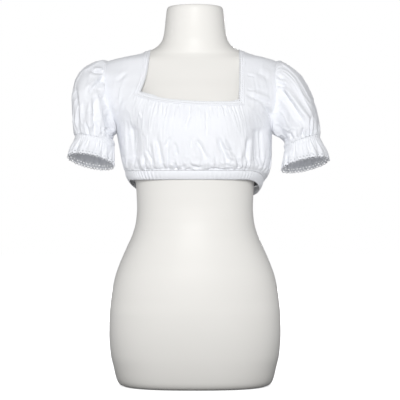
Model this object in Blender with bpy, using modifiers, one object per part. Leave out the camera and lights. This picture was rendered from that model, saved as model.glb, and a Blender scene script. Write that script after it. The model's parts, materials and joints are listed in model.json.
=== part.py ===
"""Dirndl blouse on a limbless dress form.

Metres, +Z up. The form stands on Z = 0 with its own axis on the Z axis, and its front faces -Y.
The wearer's right side is at -X and the left side at +X. "Out" is away from the centre line.
Angles round the body (turn) are 0 at the front centre, +90 degrees at the wearer's left.
Angles round a sleeve (roll) are 0 at its top or outer side, 90 at its front, 180 at its inner side.
"""

import math
from collections import namedtuple

import bmesh
import bpy
import numpy as np
from mathutils import Vector

# Cloth and seams
CLOTH = 0.0012
LACE = 0.0010
SEAM_GAP = 0.0005

# Hem: an elastic casing that sits level in front and dips at the back
HEM_FRONT_Z = 0.4290
HEM_BACK_Z = 0.3970
HEM_DIP_LENGTH = math.radians(75)
CASING_HEIGHT = 0.0190
CASING_ROLL = 0.0016
CASING_RIPPLE = 0.0006
CASING_RIPPLES = 36

# Armhole: a ring that stands nearly upright on each shoulder
ARMHOLE_Z = 0.6050
ARMHOLE_HALF_HEIGHT = 0.0750
ARMHOLE_HALF_DEPTH = 0.0560

# Blouse body
BLOUSING = 0.0060
BLOUSING_RIGHT_END = (-0.145, -0.100)
BLOUSING_RISE = 0.0130
BLOUSING_FADE = 0.0550
SEAM_FADE = 0.050
HEM_GATHER = 0.0030
HEM_GATHER_LENGTH = 0.0600
NECK_GATHERS = 17
NECK_GATHER = 0.0016
NECK_GATHER_LENGTH = 0.0320
NECK_GATHER_STARTS = (-0.105, -0.085)
NECK_GATHER_ENDS = (0.070, 0.088)
BUST_OUT = 0.0750
BUST_Z = 0.5480
BUST_RISE = 0.0150
BUST_TALL = 0.0420
BUST_WIDE_CLOTH = 0.0560
BUST_WIDE_FORM = 0.0400
SEAT_LIFT = 0.0014
SEAT_HEIGHTS = (0.655, 0.680)
CHEST_TO_SHOULDER = (0.600, 0.670)
STRAP_ANCHOR_Z = 0.6000
BODY_AXIS_Y = 0.0120
NECK_MIDDLE = (0, 0.0120, 0.5600)
ABOVE_NECKLINE = (0, 0.0100, 0.6800)

# Neckline trim
BINDING_WIDTH = 0.0036
LACE_FRONT_WIDTH = 0.0065
LACE_SIDE_WIDTH = 0.0095
LACE_SCALLOP = 0.0011

# Rows and columns of the panels
ROWS_TO_UNDERARM = 6
FORM_SIDES = 32
RING_SIDES = 44
RUFFLE_SIDES = 48

Ring = namedtuple("Ring", "z half_width front back centre power")
FORM_RINGS = [
    Ring(0.000, 0.1490, 0.0930, 0.1090, 0.000, 2.5),
    Ring(0.004, 0.1580, 0.1010, 0.1170, 0.000, 2.5),
    Ring(0.014, 0.1640, 0.1055, 0.1215, 0.000, 2.5),
    Ring(0.040, 0.1705, 0.1082, 0.1252, 0.000, 2.5),
    Ring(0.067, 0.1765, 0.1095, 0.1275, 0.000, 2.5),
    Ring(0.110, 0.1795, 0.1100, 0.1290, 0.000, 2.5),
    Ring(0.151, 0.1785, 0.1090, 0.1270, 0.000, 2.5),
    Ring(0.183, 0.1755, 0.1070, 0.1220, 0.000, 2.4),
    Ring(0.225, 0.1680, 0.1035, 0.1110, 0.000, 2.4),
    Ring(0.256, 0.1575, 0.1000, 0.1010, 0.000, 2.3),
    Ring(0.288, 0.1435, 0.0965, 0.0910, 0.000, 2.3),
    Ring(0.319, 0.1300, 0.0925, 0.0840, 0.000, 2.2),
    Ring(0.345, 0.1235, 0.0895, 0.0810, 0.000, 2.2),
    Ring(0.371, 0.1215, 0.0885, 0.0800, 0.000, 2.2),
    Ring(0.400, 0.1225, 0.0905, 0.0820, 0.000, 2.2),
    Ring(0.430, 0.1250, 0.0945, 0.0850, 0.000, 2.2),
    Ring(0.470, 0.1315, 0.1000, 0.0900, 0.001, 2.2),
    Ring(0.510, 0.1385, 0.1060, 0.0945, 0.003, 2.2),
    Ring(0.548, 0.1440, 0.1100, 0.0970, 0.005, 2.2),
    Ring(0.585, 0.1490, 0.1080, 0.0970, 0.008, 2.2),
    Ring(0.615, 0.1535, 0.0990, 0.0940, 0.010, 2.2),
    Ring(0.640, 0.1580, 0.0890, 0.0880, 0.012, 2.1),
    Ring(0.660, 0.1615, 0.0800, 0.0810, 0.012, 2.0),
    Ring(0.672, 0.1620, 0.0740, 0.0760, 0.012, 2.0),
    Ring(0.6790, 0.1590, 0.0705, 0.0725, 0.012, 2.0),
    Ring(0.6835, 0.1510, 0.0680, 0.0700, 0.012, 2.0),
    Ring(0.6870, 0.1390, 0.0665, 0.0680, 0.012, 2.0),
    Ring(0.6905, 0.1260, 0.0650, 0.0665, 0.012, 2.0),
    Ring(0.6950, 0.1120, 0.0635, 0.0645, 0.011, 2.0),
    Ring(0.7005, 0.0980, 0.0620, 0.0625, 0.010, 2.0),
    Ring(0.7070, 0.0850, 0.0605, 0.0600, 0.009, 2.0),
    Ring(0.7150, 0.0750, 0.0590, 0.0580, 0.008, 2.0),
    Ring(0.7260, 0.0680, 0.0575, 0.0565, 0.006, 2.0),
    Ring(0.7450, 0.0640, 0.0570, 0.0560, 0.003, 2.0),
    Ring(0.7680, 0.0615, 0.0570, 0.0560, 0.001, 2.0),
    Ring(0.7880, 0.0590, 0.0560, 0.0555, 0.000, 2.0),
    Ring(0.7920, 0.0565, 0.0540, 0.0535, 0.000, 2.0),
]

# How far the cloth stands off the form at each height, at the wearer's right and left side,
# in front and at the back
Ease = namedtuple("Ease", "z right left front back")
CLOTH_EASE = [
    Ease(0.385, 0.0120, 0.0150, 0.0040, 0.0040),
    Ease(0.420, 0.0150, 0.0205, 0.0048, 0.0060),
    Ease(0.445, 0.0190, 0.0245, 0.0062, 0.0085),
    Ease(0.470, 0.0220, 0.0250, 0.0085, 0.0110),
    Ease(0.500, 0.0225, 0.0235, 0.0090, 0.0110),
    Ease(0.530, 0.0235, 0.0210, 0.0075, 0.0080),
    Ease(0.560, 0.0370, 0.0250, 0.0050, 0.0060),
    Ease(0.590, 0.0530, 0.0360, 0.0036, 0.0045),
    Ease(0.620, 0.0600, 0.0395, 0.0032, 0.0036),
    Ease(0.645, 0.0590, 0.0360, 0.0028, 0.0032),
    Ease(0.663, 0.0440, 0.0260, 0.0026, 0.0028),
    Ease(0.680, 0.0240, 0.0110, 0.0022, 0.0024),
    Ease(0.688, 0.0110, 0.0050, 0.0018, 0.0018),
    Ease(0.697, 0.0016, 0.0014, 0.0016, 0.0016),
    Ease(0.730, 0.0012, 0.0012, 0.0016, 0.0016),
]

# The front neckline from the wearer's right corner to the left one
NeckPoint = namedtuple("NeckPoint", "x z")
FRONT_NECK = [
    NeckPoint(-0.1240, 0.6040),
    NeckPoint(-0.1100, 0.5980),
    NeckPoint(-0.0900, 0.5925),
    NeckPoint(-0.0600, 0.5865),
    NeckPoint(-0.0200, 0.5825),
    NeckPoint(0.0350, 0.5800),
    NeckPoint(0.0800, 0.5805),
    NeckPoint(0.0995, 0.5820),
]
BACK_NECK = [
    NeckPoint(-0.1040, 0.6560),
    NeckPoint(-0.0500, 0.6420),
    NeckPoint(0.0000, 0.6385),
    NeckPoint(0.0500, 0.6420),
    NeckPoint(0.1000, 0.6560),
]

# Where each panel's columns stand. "middle" columns lie between the neckline's corners
Panel = namedtuple(
    "Panel", "name front neck neck_row rows strap_columns middle_columns hem_turns gathers"
)
FRONT = Panel("front", True, FRONT_NECK, 9, 22, 10, 42, (-56, 47), 15)
BACK = Panel("back", False, BACK_NECK, 11, 18, 9, 28, (-50, 50), 11)

# Each side: which way is out, where the side seam meets the hem, where the strap's neck edge
# crosses the shoulder, and where the hem starts to dip
Side = namedtuple("Side", "name out seam_turn shoulder_x dip_turn")
RIGHT = Side("right", -1, math.radians(-95), -0.1040, math.radians(72))
LEFT = Side("left", 1, math.radians(79), 0.1030, math.radians(44))

# Sleeve rings from the armhole to the elastic: the inner and outer points seen from the
# front, half the depth from front to back, the centre's place along Y, and the forward tilt
SleeveRing = namedtuple("SleeveRing", "inner_out inner_z outer_out outer_z half_depth y tilt")
SLEEVE_RINGS = {
    "right": [
        SleeveRing(0.1690, 0.5240, 0.1970, 0.6840, 0.0620, 0.009, 0),
        SleeveRing(0.1710, 0.5215, 0.2150, 0.6780, 0.0675, 0.004, 1),
        SleeveRing(0.1720, 0.5195, 0.2350, 0.6640, 0.0710, -0.001, 3),
        SleeveRing(0.1725, 0.5180, 0.2500, 0.6410, 0.0720, -0.006, 5),
        SleeveRing(0.1725, 0.5160, 0.2570, 0.6090, 0.0710, -0.010, 6),
        SleeveRing(0.1720, 0.5140, 0.2580, 0.5760, 0.0680, -0.014, 8),
        SleeveRing(0.1702, 0.5125, 0.2550, 0.5460, 0.0600, -0.018, 8),
        SleeveRing(0.1670, 0.5050, 0.2500, 0.5230, 0.0490, -0.021, 6),
    ],
    "left": [
        SleeveRing(0.1690, 0.5240, 0.1840, 0.6800, 0.0620, 0.009, 0),
        SleeveRing(0.1740, 0.5210, 0.2000, 0.6710, 0.0675, 0.004, 1),
        SleeveRing(0.1785, 0.5180, 0.2180, 0.6540, 0.0710, -0.001, 3),
        SleeveRing(0.1820, 0.5150, 0.2340, 0.6290, 0.0720, -0.006, 5),
        SleeveRing(0.1850, 0.5120, 0.2470, 0.5990, 0.0700, -0.010, 6),
        SleeveRing(0.1870, 0.5090, 0.2550, 0.5700, 0.0670, -0.014, 8),
        SleeveRing(0.1875, 0.5045, 0.2590, 0.5440, 0.0600, -0.018, 8),
        SleeveRing(0.1870, 0.4980, 0.2600, 0.5220, 0.0480, -0.021, 6),
    ],
}
# Below the elastic: the shirred band, the flared ruffle and its lace edge
CUFF_RINGS = {
    "right": [
        SleeveRing(0.1670, 0.5050, 0.2500, 0.5230, 0.0490, -0.0210, 6),
        SleeveRing(0.1680, 0.4955, 0.2520, 0.5130, 0.0490, -0.0225, 7),
        SleeveRing(0.1690, 0.4835, 0.2570, 0.5005, 0.0510, -0.0240, 9),
        SleeveRing(0.1690, 0.4710, 0.2620, 0.4885, 0.0530, -0.0260, 12),
        SleeveRing(0.1690, 0.4565, 0.2650, 0.4750, 0.0540, -0.0280, 14),
    ],
    "left": [
        SleeveRing(0.1870, 0.4980, 0.2600, 0.5220, 0.0480, -0.0210, 6),
        SleeveRing(0.1860, 0.4875, 0.2630, 0.5115, 0.0480, -0.0225, 7),
        SleeveRing(0.1840, 0.4755, 0.2700, 0.4965, 0.0500, -0.0240, 9),
        SleeveRing(0.1820, 0.4630, 0.2760, 0.4815, 0.0520, -0.0260, 12),
        SleeveRing(0.1800, 0.4490, 0.2790, 0.4690, 0.0530, -0.0280, 13),
    ],
}
HEAD_RINGS = 5
HEAD_GATHERS = 11
HEAD_GATHER = 0.0026
CUFF_GATHERS = 22
CUFF_GATHER = 0.0020
BAND_RIPPLE = 0.0007
RUFFLE_WAVES = 16
RUFFLE_WAVE = 0.0026
LACE_DROP = 0.0018
CUFF_GAP = 0.0008
CuffPart = namedtuple("CuffPart", "name first last waves wave_above wave_below scallop wall paint")

# Single troughs pressed into the front, from the photograph: lower end, upper end, depth, width
Trough = namedtuple("Trough", "low_x low_z high_x high_z depth width")
FRONT_TROUGHS = [
    Trough(0.0200, 0.464, -0.0010, 0.510, 0.0030, 0.0065),
    Trough(0.0830, 0.456, 0.0450, 0.516, 0.0028, 0.0060),
    Trough(-0.0610, 0.462, -0.0530, 0.509, 0.0026, 0.0060),
    Trough(-0.0680, 0.459, -0.0770, 0.512, 0.0028, 0.0070),
    Trough(-0.1320, 0.450, -0.1400, 0.556, 0.0034, 0.0060),
    Trough(-0.1150, 0.450, -0.1290, 0.540, 0.0030, 0.0060),
    Trough(0.1060, 0.452, 0.1060, 0.528, 0.0028, 0.0060),
    Trough(0.1230, 0.452, 0.1290, 0.540, 0.0032, 0.0060),
    Trough(-0.0190, 0.522, -0.0160, 0.566, 0.0018, 0.0055),
    Trough(0.0230, 0.520, 0.0240, 0.578, 0.0020, 0.0055),
    Trough(0.1680, 0.548, 0.1080, 0.592, 0.0028, 0.0080),
]

WHITE_COTTON = (0.90, 0.91, 0.94)
WHITE_LACE = (0.90, 0.90, 0.88)
FORM_WHITE = (0.82, 0.82, 0.79)


def smoothstep(low, high, value):
    """0 below low, 1 above high, and a soft S between."""
    t = np.clip((value - low) / (high - low), 0, 1)
    return t * t * (3 - 2 * t)


def through(table, column, at):
    """A smooth cubic, with no overshoot, through one column against a table's first column."""
    places = np.array([row[0] for row in table])
    values = np.array([getattr(row, column) for row in table])
    rises = np.diff(values) / np.diff(places)
    before, after = rises[:-1], rises[1:]
    mean = 2 * before * after / np.where(before * after > 0, before + after, 1)
    slopes = np.concatenate([rises[:1], np.where(before * after > 0, mean, 0), rises[-1:]])
    at = np.clip(at, places[0], places[-1])
    k = np.clip(np.searchsorted(places, at, side="right") - 1, 0, len(places) - 2)
    step = places[k + 1] - places[k]
    t = (at - places[k]) / step
    return (
        (2 * t**3 - 3 * t**2 + 1) * values[k]
        + (t**3 - 2 * t**2 + t) * step * slopes[k]
        + (3 * t**2 - 2 * t**3) * values[k + 1]
        + (t**3 - t**2) * step * slopes[k + 1]
    )


def hem_z(turn):
    """Height of the hem's lower edge at an angle round the body."""
    dip = smoothstep(0, HEM_DIP_LENGTH, np.abs(turn) - np.where(turn < 0, RIGHT.dip_turn, LEFT.dip_turn))
    return HEM_FRONT_Z + (HEM_BACK_Z - HEM_FRONT_Z) * dip


def bust(x, z, wide):
    """Extra depth in front for the bust of a general figure."""
    tall = np.exp(-(((z - BUST_Z) / BUST_TALL) ** 2) / 2)
    left = np.exp(-(((x - BUST_OUT) / wide) ** 2) / 2)
    right = np.exp(-(((x + BUST_OUT) / wide) ** 2) / 2)
    return BUST_RISE * tall * (left + right)


def girth(z, x, cloth):
    """Half width on the side of x, front depth, back depth, centre and power of the section at z."""
    if cloth:
        half_width, front, back, centre, power = girth(
            z - SEAT_LIFT * smoothstep(*SEAT_HEIGHTS, z), x, False
        )
        at_side = np.where(x < 0, through(CLOTH_EASE, "right", z), through(CLOTH_EASE, "left", z))
        front = front + through(CLOTH_EASE, "front", z)
        back = back + through(CLOTH_EASE, "back", z)
        return half_width + at_side, front, back, centre, power
    columns = "half_width", "front", "back", "centre", "power"
    return [through(FORM_RINGS, column, z) for column in columns]


def ring_points(z, turn, cloth):
    """Points of the body's section at height z and angle turn."""
    sine, cosine = np.sin(turn), np.cos(turn)
    half_width, front, back, centre, power = girth(z, sine, cloth)
    x = half_width * np.sign(sine) * np.abs(sine) ** (2 / power)
    deep = np.where(cosine > 0, front, back)
    y = centre - deep * np.sign(cosine) * np.abs(cosine) ** (2 / power)
    bulge = bust(x, z, BUST_WIDE_CLOTH if cloth else BUST_WIDE_FORM) * np.clip(cosine, 0, 1)
    return np.stack([x, y - bulge, z + 0 * x], axis=-1)


def depth_at(x, z, ahead):
    """How deep the cloth's smooth body is at x = 0, widened by the bust, and its share at x."""
    half_width, front, back, centre, power = girth(z, x, True)
    across = np.clip(np.abs(x) / half_width, 0, 1)
    deep = np.where(ahead, front + bust(x, z, BUST_WIDE_CLOTH) * np.sqrt(1 - across**2), back)
    return deep, (1 - across**power) ** (1 / power)


def face_points(x, z, ahead):
    """Points of the cloth's smooth body straight ahead of or behind x and z."""
    centre = girth(z, x, True)[3]
    deep, share = depth_at(x, z, ahead)
    return np.stack([x, centre - (1 if ahead else -1) * deep * share, z + 0 * x], axis=-1)


def level(points):
    """Under 1 inside the cloth's smooth body, over 1 outside."""
    x, y, z = points[..., 0], points[..., 1], points[..., 2]
    half_width, front, back, centre, power = girth(z, x, True)
    deep, _ = depth_at(x, z, y < centre)
    return (np.abs(x) / half_width) ** power + (np.abs(y - centre) / deep) ** power


def cast(anchor, ray):
    """Where rays from anchors inside the cloth's smooth body leave it."""
    near, far = np.zeros(ray.shape[:-1]), np.full(ray.shape[:-1], 2.5)
    for _ in range(44):
        middle = (near + far) / 2
        inside = level(anchor + ray * middle[..., None]) < 1
        near, far = np.where(inside, middle, near), np.where(inside, far, middle)
    return anchor + ray * near[..., None]


def onto_body(points):
    """Moves points to the cloth's smooth body, level at the chest and upward at the shoulders."""
    x, z = points[..., 0], points[..., 2]
    high = smoothstep(*CHEST_TO_SHOULDER, z)
    centre = girth(z, x, True)[3]
    drop = 0.85 * high * (z - CHEST_TO_SHOULDER[0])
    anchor = np.stack([0.88 * high * x, centre, z - drop], axis=-1)
    return cast(anchor, points - anchor)


def body_normals(points, step=0.0005):
    """Outward normals of the cloth's smooth body."""
    slopes = [level(points + step * axis) - level(points - step * axis) for axis in np.eye(3)]
    normals = np.stack(slopes, axis=-1)
    return normals / np.linalg.norm(normals, axis=-1, keepdims=True)


def armhole(side, roll):
    """The armhole's ring on the body."""
    z = ARMHOLE_Z + ARMHOLE_HALF_HEIGHT * np.cos(roll)
    half_width, front, back, centre, power = girth(z, side.out, True)
    reach = ARMHOLE_HALF_DEPTH * np.sin(roll)
    deep = np.where(reach > 0, front, back)
    x = half_width * (1 - (np.abs(reach) / deep) ** power) ** (1 / power)
    return np.stack([side.out * x, centre - reach, z], axis=-1)


def between(start, end, shares):
    """Points on the straight line from start to end."""
    shares = np.asarray(shares)[..., None]
    return start * (1 - shares) + end * shares


def outer_guide(side, panel):
    """The panel's outer edge on one side: up the side seam, then round the armhole."""
    hem = ring_points(hem_z(side.seam_turn) + CASING_HEIGHT + SEAM_GAP, side.seam_turn, True)
    underarm = armhole(side, np.array(math.pi))
    seam = onto_body(between(hem, underarm, np.linspace(0, 1, ROWS_TO_UNDERARM + 1)))
    way = 1 if panel.front else -1
    rolls = np.linspace(math.pi, 0, panel.rows - ROWS_TO_UNDERARM + 1)[1:]
    guide = np.concatenate([seam, armhole(side, way * rolls)])
    off_seam = np.concatenate([np.zeros(ROWS_TO_UNDERARM + 1), np.sin(rolls)])
    guide[:, 1] -= way * SEAM_GAP / 2 * (1 - smoothstep(0, 0.3, off_seam))
    return guide


def shoulder_z(x):
    """Height of the shoulder's ridge at a distance from the centre line."""
    low, high = 0.668, 0.740
    for _ in range(40):
        middle = (low + high) / 2
        if girth(middle, x, True)[0] > abs(x):
            low = middle
        else:
            high = middle
    return low


def strap_guide(side, panel, corner):
    """The strap's neck edge, from the neckline's corner to the top of the shoulder."""
    way = 1 if panel.front else -1
    top_z = shoulder_z(side.shoulder_x)
    centre = girth(top_z, 0, True)[3]
    t = np.linspace(0, 1, panel.rows - panel.neck_row + 1)
    start = math.atan2(corner[2] - STRAP_ANCHOR_Z, way * (centre - corner[1]))
    angle = start + (math.pi / 2 - start) * t
    x = side.shoulder_x + (corner[0] - side.shoulder_x) * (1 - t) ** 3
    anchor = np.stack([x, centre + 0 * x, STRAP_ANCHOR_Z + 0 * x], axis=-1)
    ray = np.stack([0 * x, -way * np.cos(angle), np.sin(angle)], axis=-1)
    guide = cast(anchor, 0.1 * ray)
    guide[0] = corner
    guide[-1] = [side.shoulder_x, centre - way * SEAM_GAP / 2, top_z]
    return guide


def panel_grid(panel):
    """Smooth points of a panel by row and column. Above neck_row only the strap columns count."""
    count = 2 * panel.strap_columns + panel.middle_columns
    first = panel.strap_columns
    last = first + panel.middle_columns
    way = 1 if panel.front else -1
    grid = np.zeros((panel.rows + 1, count + 1, 3))
    middle_turns = np.radians(np.linspace(*panel.hem_turns, panel.middle_columns + 1))
    right_seam = RIGHT.seam_turn if panel.front else -math.pi - RIGHT.seam_turn
    left_seam = LEFT.seam_turn if panel.front else math.pi - LEFT.seam_turn
    turns = np.concatenate(
        [
            np.linspace(right_seam, middle_turns[0], first + 1)[:-1],
            middle_turns,
            np.linspace(middle_turns[-1], left_seam, first + 1)[1:],
        ]
    )
    if not panel.front:
        turns = (2 * math.pi - turns) % (2 * math.pi) - math.pi
    bottom = ring_points(hem_z(turns) + CASING_HEIGHT + SEAM_GAP, turns, True)
    x = np.linspace(panel.neck[0].x, panel.neck[-1].x, panel.middle_columns + 1)
    top = face_points(x, through(panel.neck, "z", x), panel.front)
    middle_bottom = bottom[first : last + 1]
    for row, share in enumerate(row_shares(panel.neck_row)):
        grid[row, first : last + 1] = onto_body(middle_bottom + (top - middle_bottom) * share)
    grid[0, first : last + 1] = middle_bottom
    for side, edge, corner in ((RIGHT, 0, first), (LEFT, count, last)):
        outer = outer_guide(side, panel)
        strap = strap_guide(side, panel, grid[panel.neck_row, corner])
        grid[panel.neck_row + 1 :, corner] = strap[1:]
        shares = np.linspace(0, 1, panel.strap_columns + 1)
        columns = np.linspace(edge, corner, panel.strap_columns + 1).astype(int)
        sag = bottom[columns] - between(outer[0], grid[0, corner], shares)
        for row in range(panel.rows + 1):
            keep = max(0.0, 1 - row / ROWS_TO_UNDERARM)
            laid = onto_body(between(outer[row], grid[row, corner], shares) + sag * keep)
            laid[0], laid[-1] = outer[row], grid[row, corner]
            if row == panel.rows:
                laid[:, 1] = girth(laid[:, 2], laid[:, 0], True)[3] - way * SEAM_GAP / 2
            grid[row, columns] = laid
    return grid


def row_shares(rows):
    """Shares of the height for the rows up to the neckline, closer together near the hem."""
    t = np.linspace(0, 1, rows + 1)
    return t**1.25


def trough_depth(points, troughs):
    """How deep the single folds are at each point of the front."""
    x, z = points[..., 0], points[..., 2]
    depth = np.zeros(x.shape)
    for fold in troughs:
        along_x, along_z = fold.high_x - fold.low_x, fold.high_z - fold.low_z
        length = math.hypot(along_x, along_z)
        t = ((x - fold.low_x) * along_x + (z - fold.low_z) * along_z) / length**2
        off = ((x - fold.low_x) * along_z - (z - fold.low_z) * along_x) / length
        ends = smoothstep(-0.15, 0.2, t) * (1 - smoothstep(0.75, 1.15, t))
        depth += fold.depth * ends * np.exp(-((off / fold.width) ** 2))
    return depth


def panel_folds(panel, grid):
    """How far each point of a panel stands out from its smooth place."""
    rows, columns = grid.shape[:2]
    share = np.linspace(0, 1, columns)[None, :]
    above = grid[..., 2] - grid[0, :, 2][None, :]
    sides = smoothstep(0, SEAM_FADE, share) * (1 - smoothstep(1 - SEAM_FADE, 1, share))
    blouse = BLOUSING * smoothstep(0, BLOUSING_RISE, above)
    blouse *= np.exp(-((np.clip(above - BLOUSING_RISE, 0, None) / BLOUSING_FADE) ** 2))
    blouse *= sides + (1 - sides) * (1 - smoothstep(0.030, 0.060, above))
    blouse *= smoothstep(*BLOUSING_RIGHT_END, grid[..., 0])
    phase = panel.gathers * share + 0.30 * np.sin(9.5 * share + 0.6) + 0.16 * np.sin(23 * share)
    uneven = 0.75 + 0.25 * np.sin(17 * share + 1.0)
    length = HEM_GATHER_LENGTH * (0.75 + 0.45 * np.sin(31 * share + 2.0) ** 2)
    grown = HEM_GATHER * (0.3 + 0.7 * smoothstep(0, 0.014, above))
    grown = grown * np.exp(-((np.clip(above - 0.016, 0, None) / length) ** 2))
    out = blouse + np.cos(2 * math.pi * phase) * uneven * grown * sides
    if panel.front:
        below = through(panel.neck, "z", grid[..., 0]) - grid[..., 2]
        x = grid[..., 0]
        across = smoothstep(*NECK_GATHER_STARTS, x) * (1 - smoothstep(*NECK_GATHER_ENDS, x))
        fine = np.cos(2 * math.pi * (NECK_GATHERS * share + 0.3 * np.sin(14 * share)))
        faded = np.exp(-((below / NECK_GATHER_LENGTH) ** 2)) * smoothstep(0, 0.008, below)
        out = out + NECK_GATHER * fine * faded * across
        out = out - trough_depth(grid, FRONT_TROUGHS) * sides
    edges = np.ones(rows)
    edges[0] = 0.25
    return out * edges[:, None]


def material(name, colour, roughness):
    """A plain Principled material."""
    made = bpy.data.materials.get(name) or bpy.data.materials.new(name)
    made.use_nodes = True
    shader = made.node_tree.nodes["Principled BSDF"]
    shader.inputs["Base Color"].default_value = (*colour, 1)
    shader.inputs["Roughness"].default_value = roughness
    shader.inputs["Metallic"].default_value = 0.0
    made.diffuse_color = (*colour, 1)
    return made


def collection(name):
    """The collection that holds the object's parts."""
    made = bpy.data.collections.new(name)
    bpy.context.scene.collection.children.link(made)
    return made


def surface_object(name, grid, used, closed, paint, home):
    """An open surface through a grid of points. used says which cells between the points exist."""
    rows, columns = grid.shape[:2]
    bm = bmesh.new()
    points = {}

    def point(row, column):
        key = (row, column % columns if closed else column)
        if key not in points:
            points[key] = bm.verts.new(grid[key])
        return points[key]

    for row in range(rows - 1):
        for column in range(columns if closed else columns - 1):
            if used(row, column):
                corners = (row, column), (row, column + 1), (row + 1, column + 1), (row + 1, column)
                bm.faces.new([point(*corner) for corner in corners])
    mesh = bpy.data.meshes.new(name)
    bm.to_mesh(mesh)
    bm.free()
    mesh.materials.append(paint)
    made = bpy.data.objects.new(name, mesh)
    home.objects.link(made)
    return made


def turn_out(made, outward):
    """Turns the faces round if they point against outward, a function of a face's centre."""
    mesh = made.data
    facing = sum(face.area * face.normal.dot(outward(face.center)) for face in mesh.polygons)
    if facing < 0:
        mesh.flip_normals()


def away_from(point):
    """A function that gives a face centre's direction away from a point."""
    return lambda centre: centre - Vector(point)


def from_axis(x, y):
    """A function that gives a face centre's direction away from an upright axis."""
    return lambda centre: centre - Vector((x, y, centre.z))


def thicken(made, thickness):
    """Gives an open surface its wall, inwards from its outer points."""
    wall = made.modifiers.new("wall", "SOLIDIFY")
    wall.thickness = thickness
    wall.offset = -1
    wall.use_quality_normals = True
    made.data.shade_smooth()
    return made


def make_panel(panel, paint, home):
    """The front or the back, with its gathers."""
    grid = panel_grid(panel)
    shaped = grid + body_normals(grid) * panel_folds(panel, grid)[..., None]
    first = panel.strap_columns
    last = first + panel.middle_columns

    def used(row, column):
        return row < panel.neck_row or column < first or column >= last

    made = surface_object(panel.name, shaped, used, False, paint, home)
    turn_out(made, from_axis(0, BODY_AXIS_Y))
    return thicken(made, CLOTH), shaped


def make_casing(paint, home):
    """The hem's elastic casing, a soft rolled band with small puckers."""
    count = 72
    turns = np.linspace(-math.pi, math.pi, count, endpoint=False)
    rows = []
    for share in (0, 0.5, 1):
        z = hem_z(turns) + CASING_HEIGHT * share
        ring = ring_points(z, turns, True)
        swell = CASING_ROLL * math.sin(math.pi * share)
        pucker = CASING_RIPPLE * np.cos(CASING_RIPPLES * turns)
        rows.append(ring + body_normals(ring) * (swell + pucker)[:, None])
    made = surface_object("hem_casing", np.array(rows), lambda row, column: True, True, paint, home)
    turn_out(made, from_axis(0, 0))
    return thicken(made, CLOTH)


def neck_legs(front, back):
    """The neckline's four edges between its corners, from the shaped panels, in order round it."""
    first, last = FRONT.strap_columns, FRONT.strap_columns + FRONT.middle_columns
    back_first, back_last = BACK.strap_columns, BACK.strap_columns + BACK.middle_columns
    across_front = front[FRONT.neck_row, first : last + 1]
    across_back = back[BACK.neck_row, back_first : back_last + 1][::-1]
    straps = []
    for column, back_column in ((last, back_last), (first, back_first)):
        rising = front[FRONT.neck_row : FRONT.rows, column]
        falling = back[BACK.neck_row : BACK.rows, back_column][::-1]
        ridge = (front[FRONT.rows, column] + back[BACK.rows, back_column]) / 2
        straps.append(np.concatenate([rising, ridge[None], falling]))
    return [across_front, straps[0], across_back, straps[1][::-1]]


def unit(vectors):
    """Vectors scaled to length 1."""
    return vectors / np.linalg.norm(vectors, axis=-1, keepdims=True)


def trim_ring(legs, away, lift):
    """A ring beside the neckline, with mitred corners: away from its edge, and lifted off it."""
    rings = []
    for k, leg in enumerate(legs):
        before, after = legs[k - 1], legs[(k + 1) % len(legs)]
        lengths = np.concatenate([[0], np.cumsum(np.linalg.norm(np.diff(leg, axis=0), axis=1))])
        opening = (
            (unit(leg[1] - leg[0]) @ unit(before[-2] - before[-1])),
            (unit(leg[-2] - leg[-1]) @ unit(after[1] - after[0])),
        )
        short = [away * math.sqrt((1 + cosine) / (1 - cosine)) for cosine in opening]
        places = short[0] + lengths / lengths[-1] * (lengths[-1] - short[0] - short[1])
        edge = np.stack([np.interp(places, lengths, leg[:, axis]) for axis in range(3)], axis=-1)
        inward = unit(np.cross(body_normals(onto_body(edge)), np.gradient(edge, axis=0)))
        middle = len(edge) // 2
        towards_neck = np.array(ABOVE_NECKLINE) - edge[middle]
        inward *= np.sign(inward[middle] @ towards_neck)
        ring = onto_body(edge + inward * away)
        rings.append((ring + body_normals(ring) * lift)[:-1])
    return np.concatenate(rings)


def make_neck_trim(front, back, cotton, lace_paint, home):
    """The bound edge of the neckline and the narrow lace inside it."""
    legs = neck_legs(front, back)
    binding = [trim_ring(legs, away, 0.0001) for away in (SEAM_GAP, SEAM_GAP + BINDING_WIDTH)]
    bound = surface_object(
        "neck_binding", np.array(binding), lambda row, column: True, True, cotton, home
    )
    turn_out(bound, away_from(NECK_MIDDLE))
    thicken(bound, CLOTH)
    edge = BINDING_WIDTH + 2 * SEAM_GAP
    inner = trim_ring(legs, edge, 0.0001)
    narrow = trim_ring(legs, edge + LACE_FRONT_WIDTH, 0.0004)
    wide = trim_ring(legs, edge + LACE_SIDE_WIDTH, 0.0004)
    at_side = smoothstep(0.075, 0.095, np.abs(inner[:, :1]))
    outer = narrow + (wide - narrow) * at_side
    scallop = np.cos(math.pi * np.arange(len(inner)))[:, None]
    outer += unit(outer - inner) * LACE_SCALLOP * scallop
    laced = surface_object(
        "neck_lace", np.array([inner, outer]), lambda row, column: True, True, lace_paint, home
    )
    turn_out(laced, away_from(NECK_MIDDLE))
    thicken(laced, LACE)


def sleeve_ring(side, ring, roll):
    """Points of one ring of a sleeve or cuff."""
    inner = np.array([ring.inner_out, ring.inner_z])
    outer = np.array([ring.outer_out, ring.outer_z])
    middle, reach = (inner + outer) / 2, (outer - inner) / 2
    ahead = ring.half_depth * np.sin(roll)
    out = middle[0] + reach[0] * np.cos(roll)
    z = middle[1] + reach[1] * np.cos(roll) + math.tan(math.radians(ring.tilt)) * ahead
    return np.stack([side.out * out, ring.y - ahead, z], axis=-1)


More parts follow.
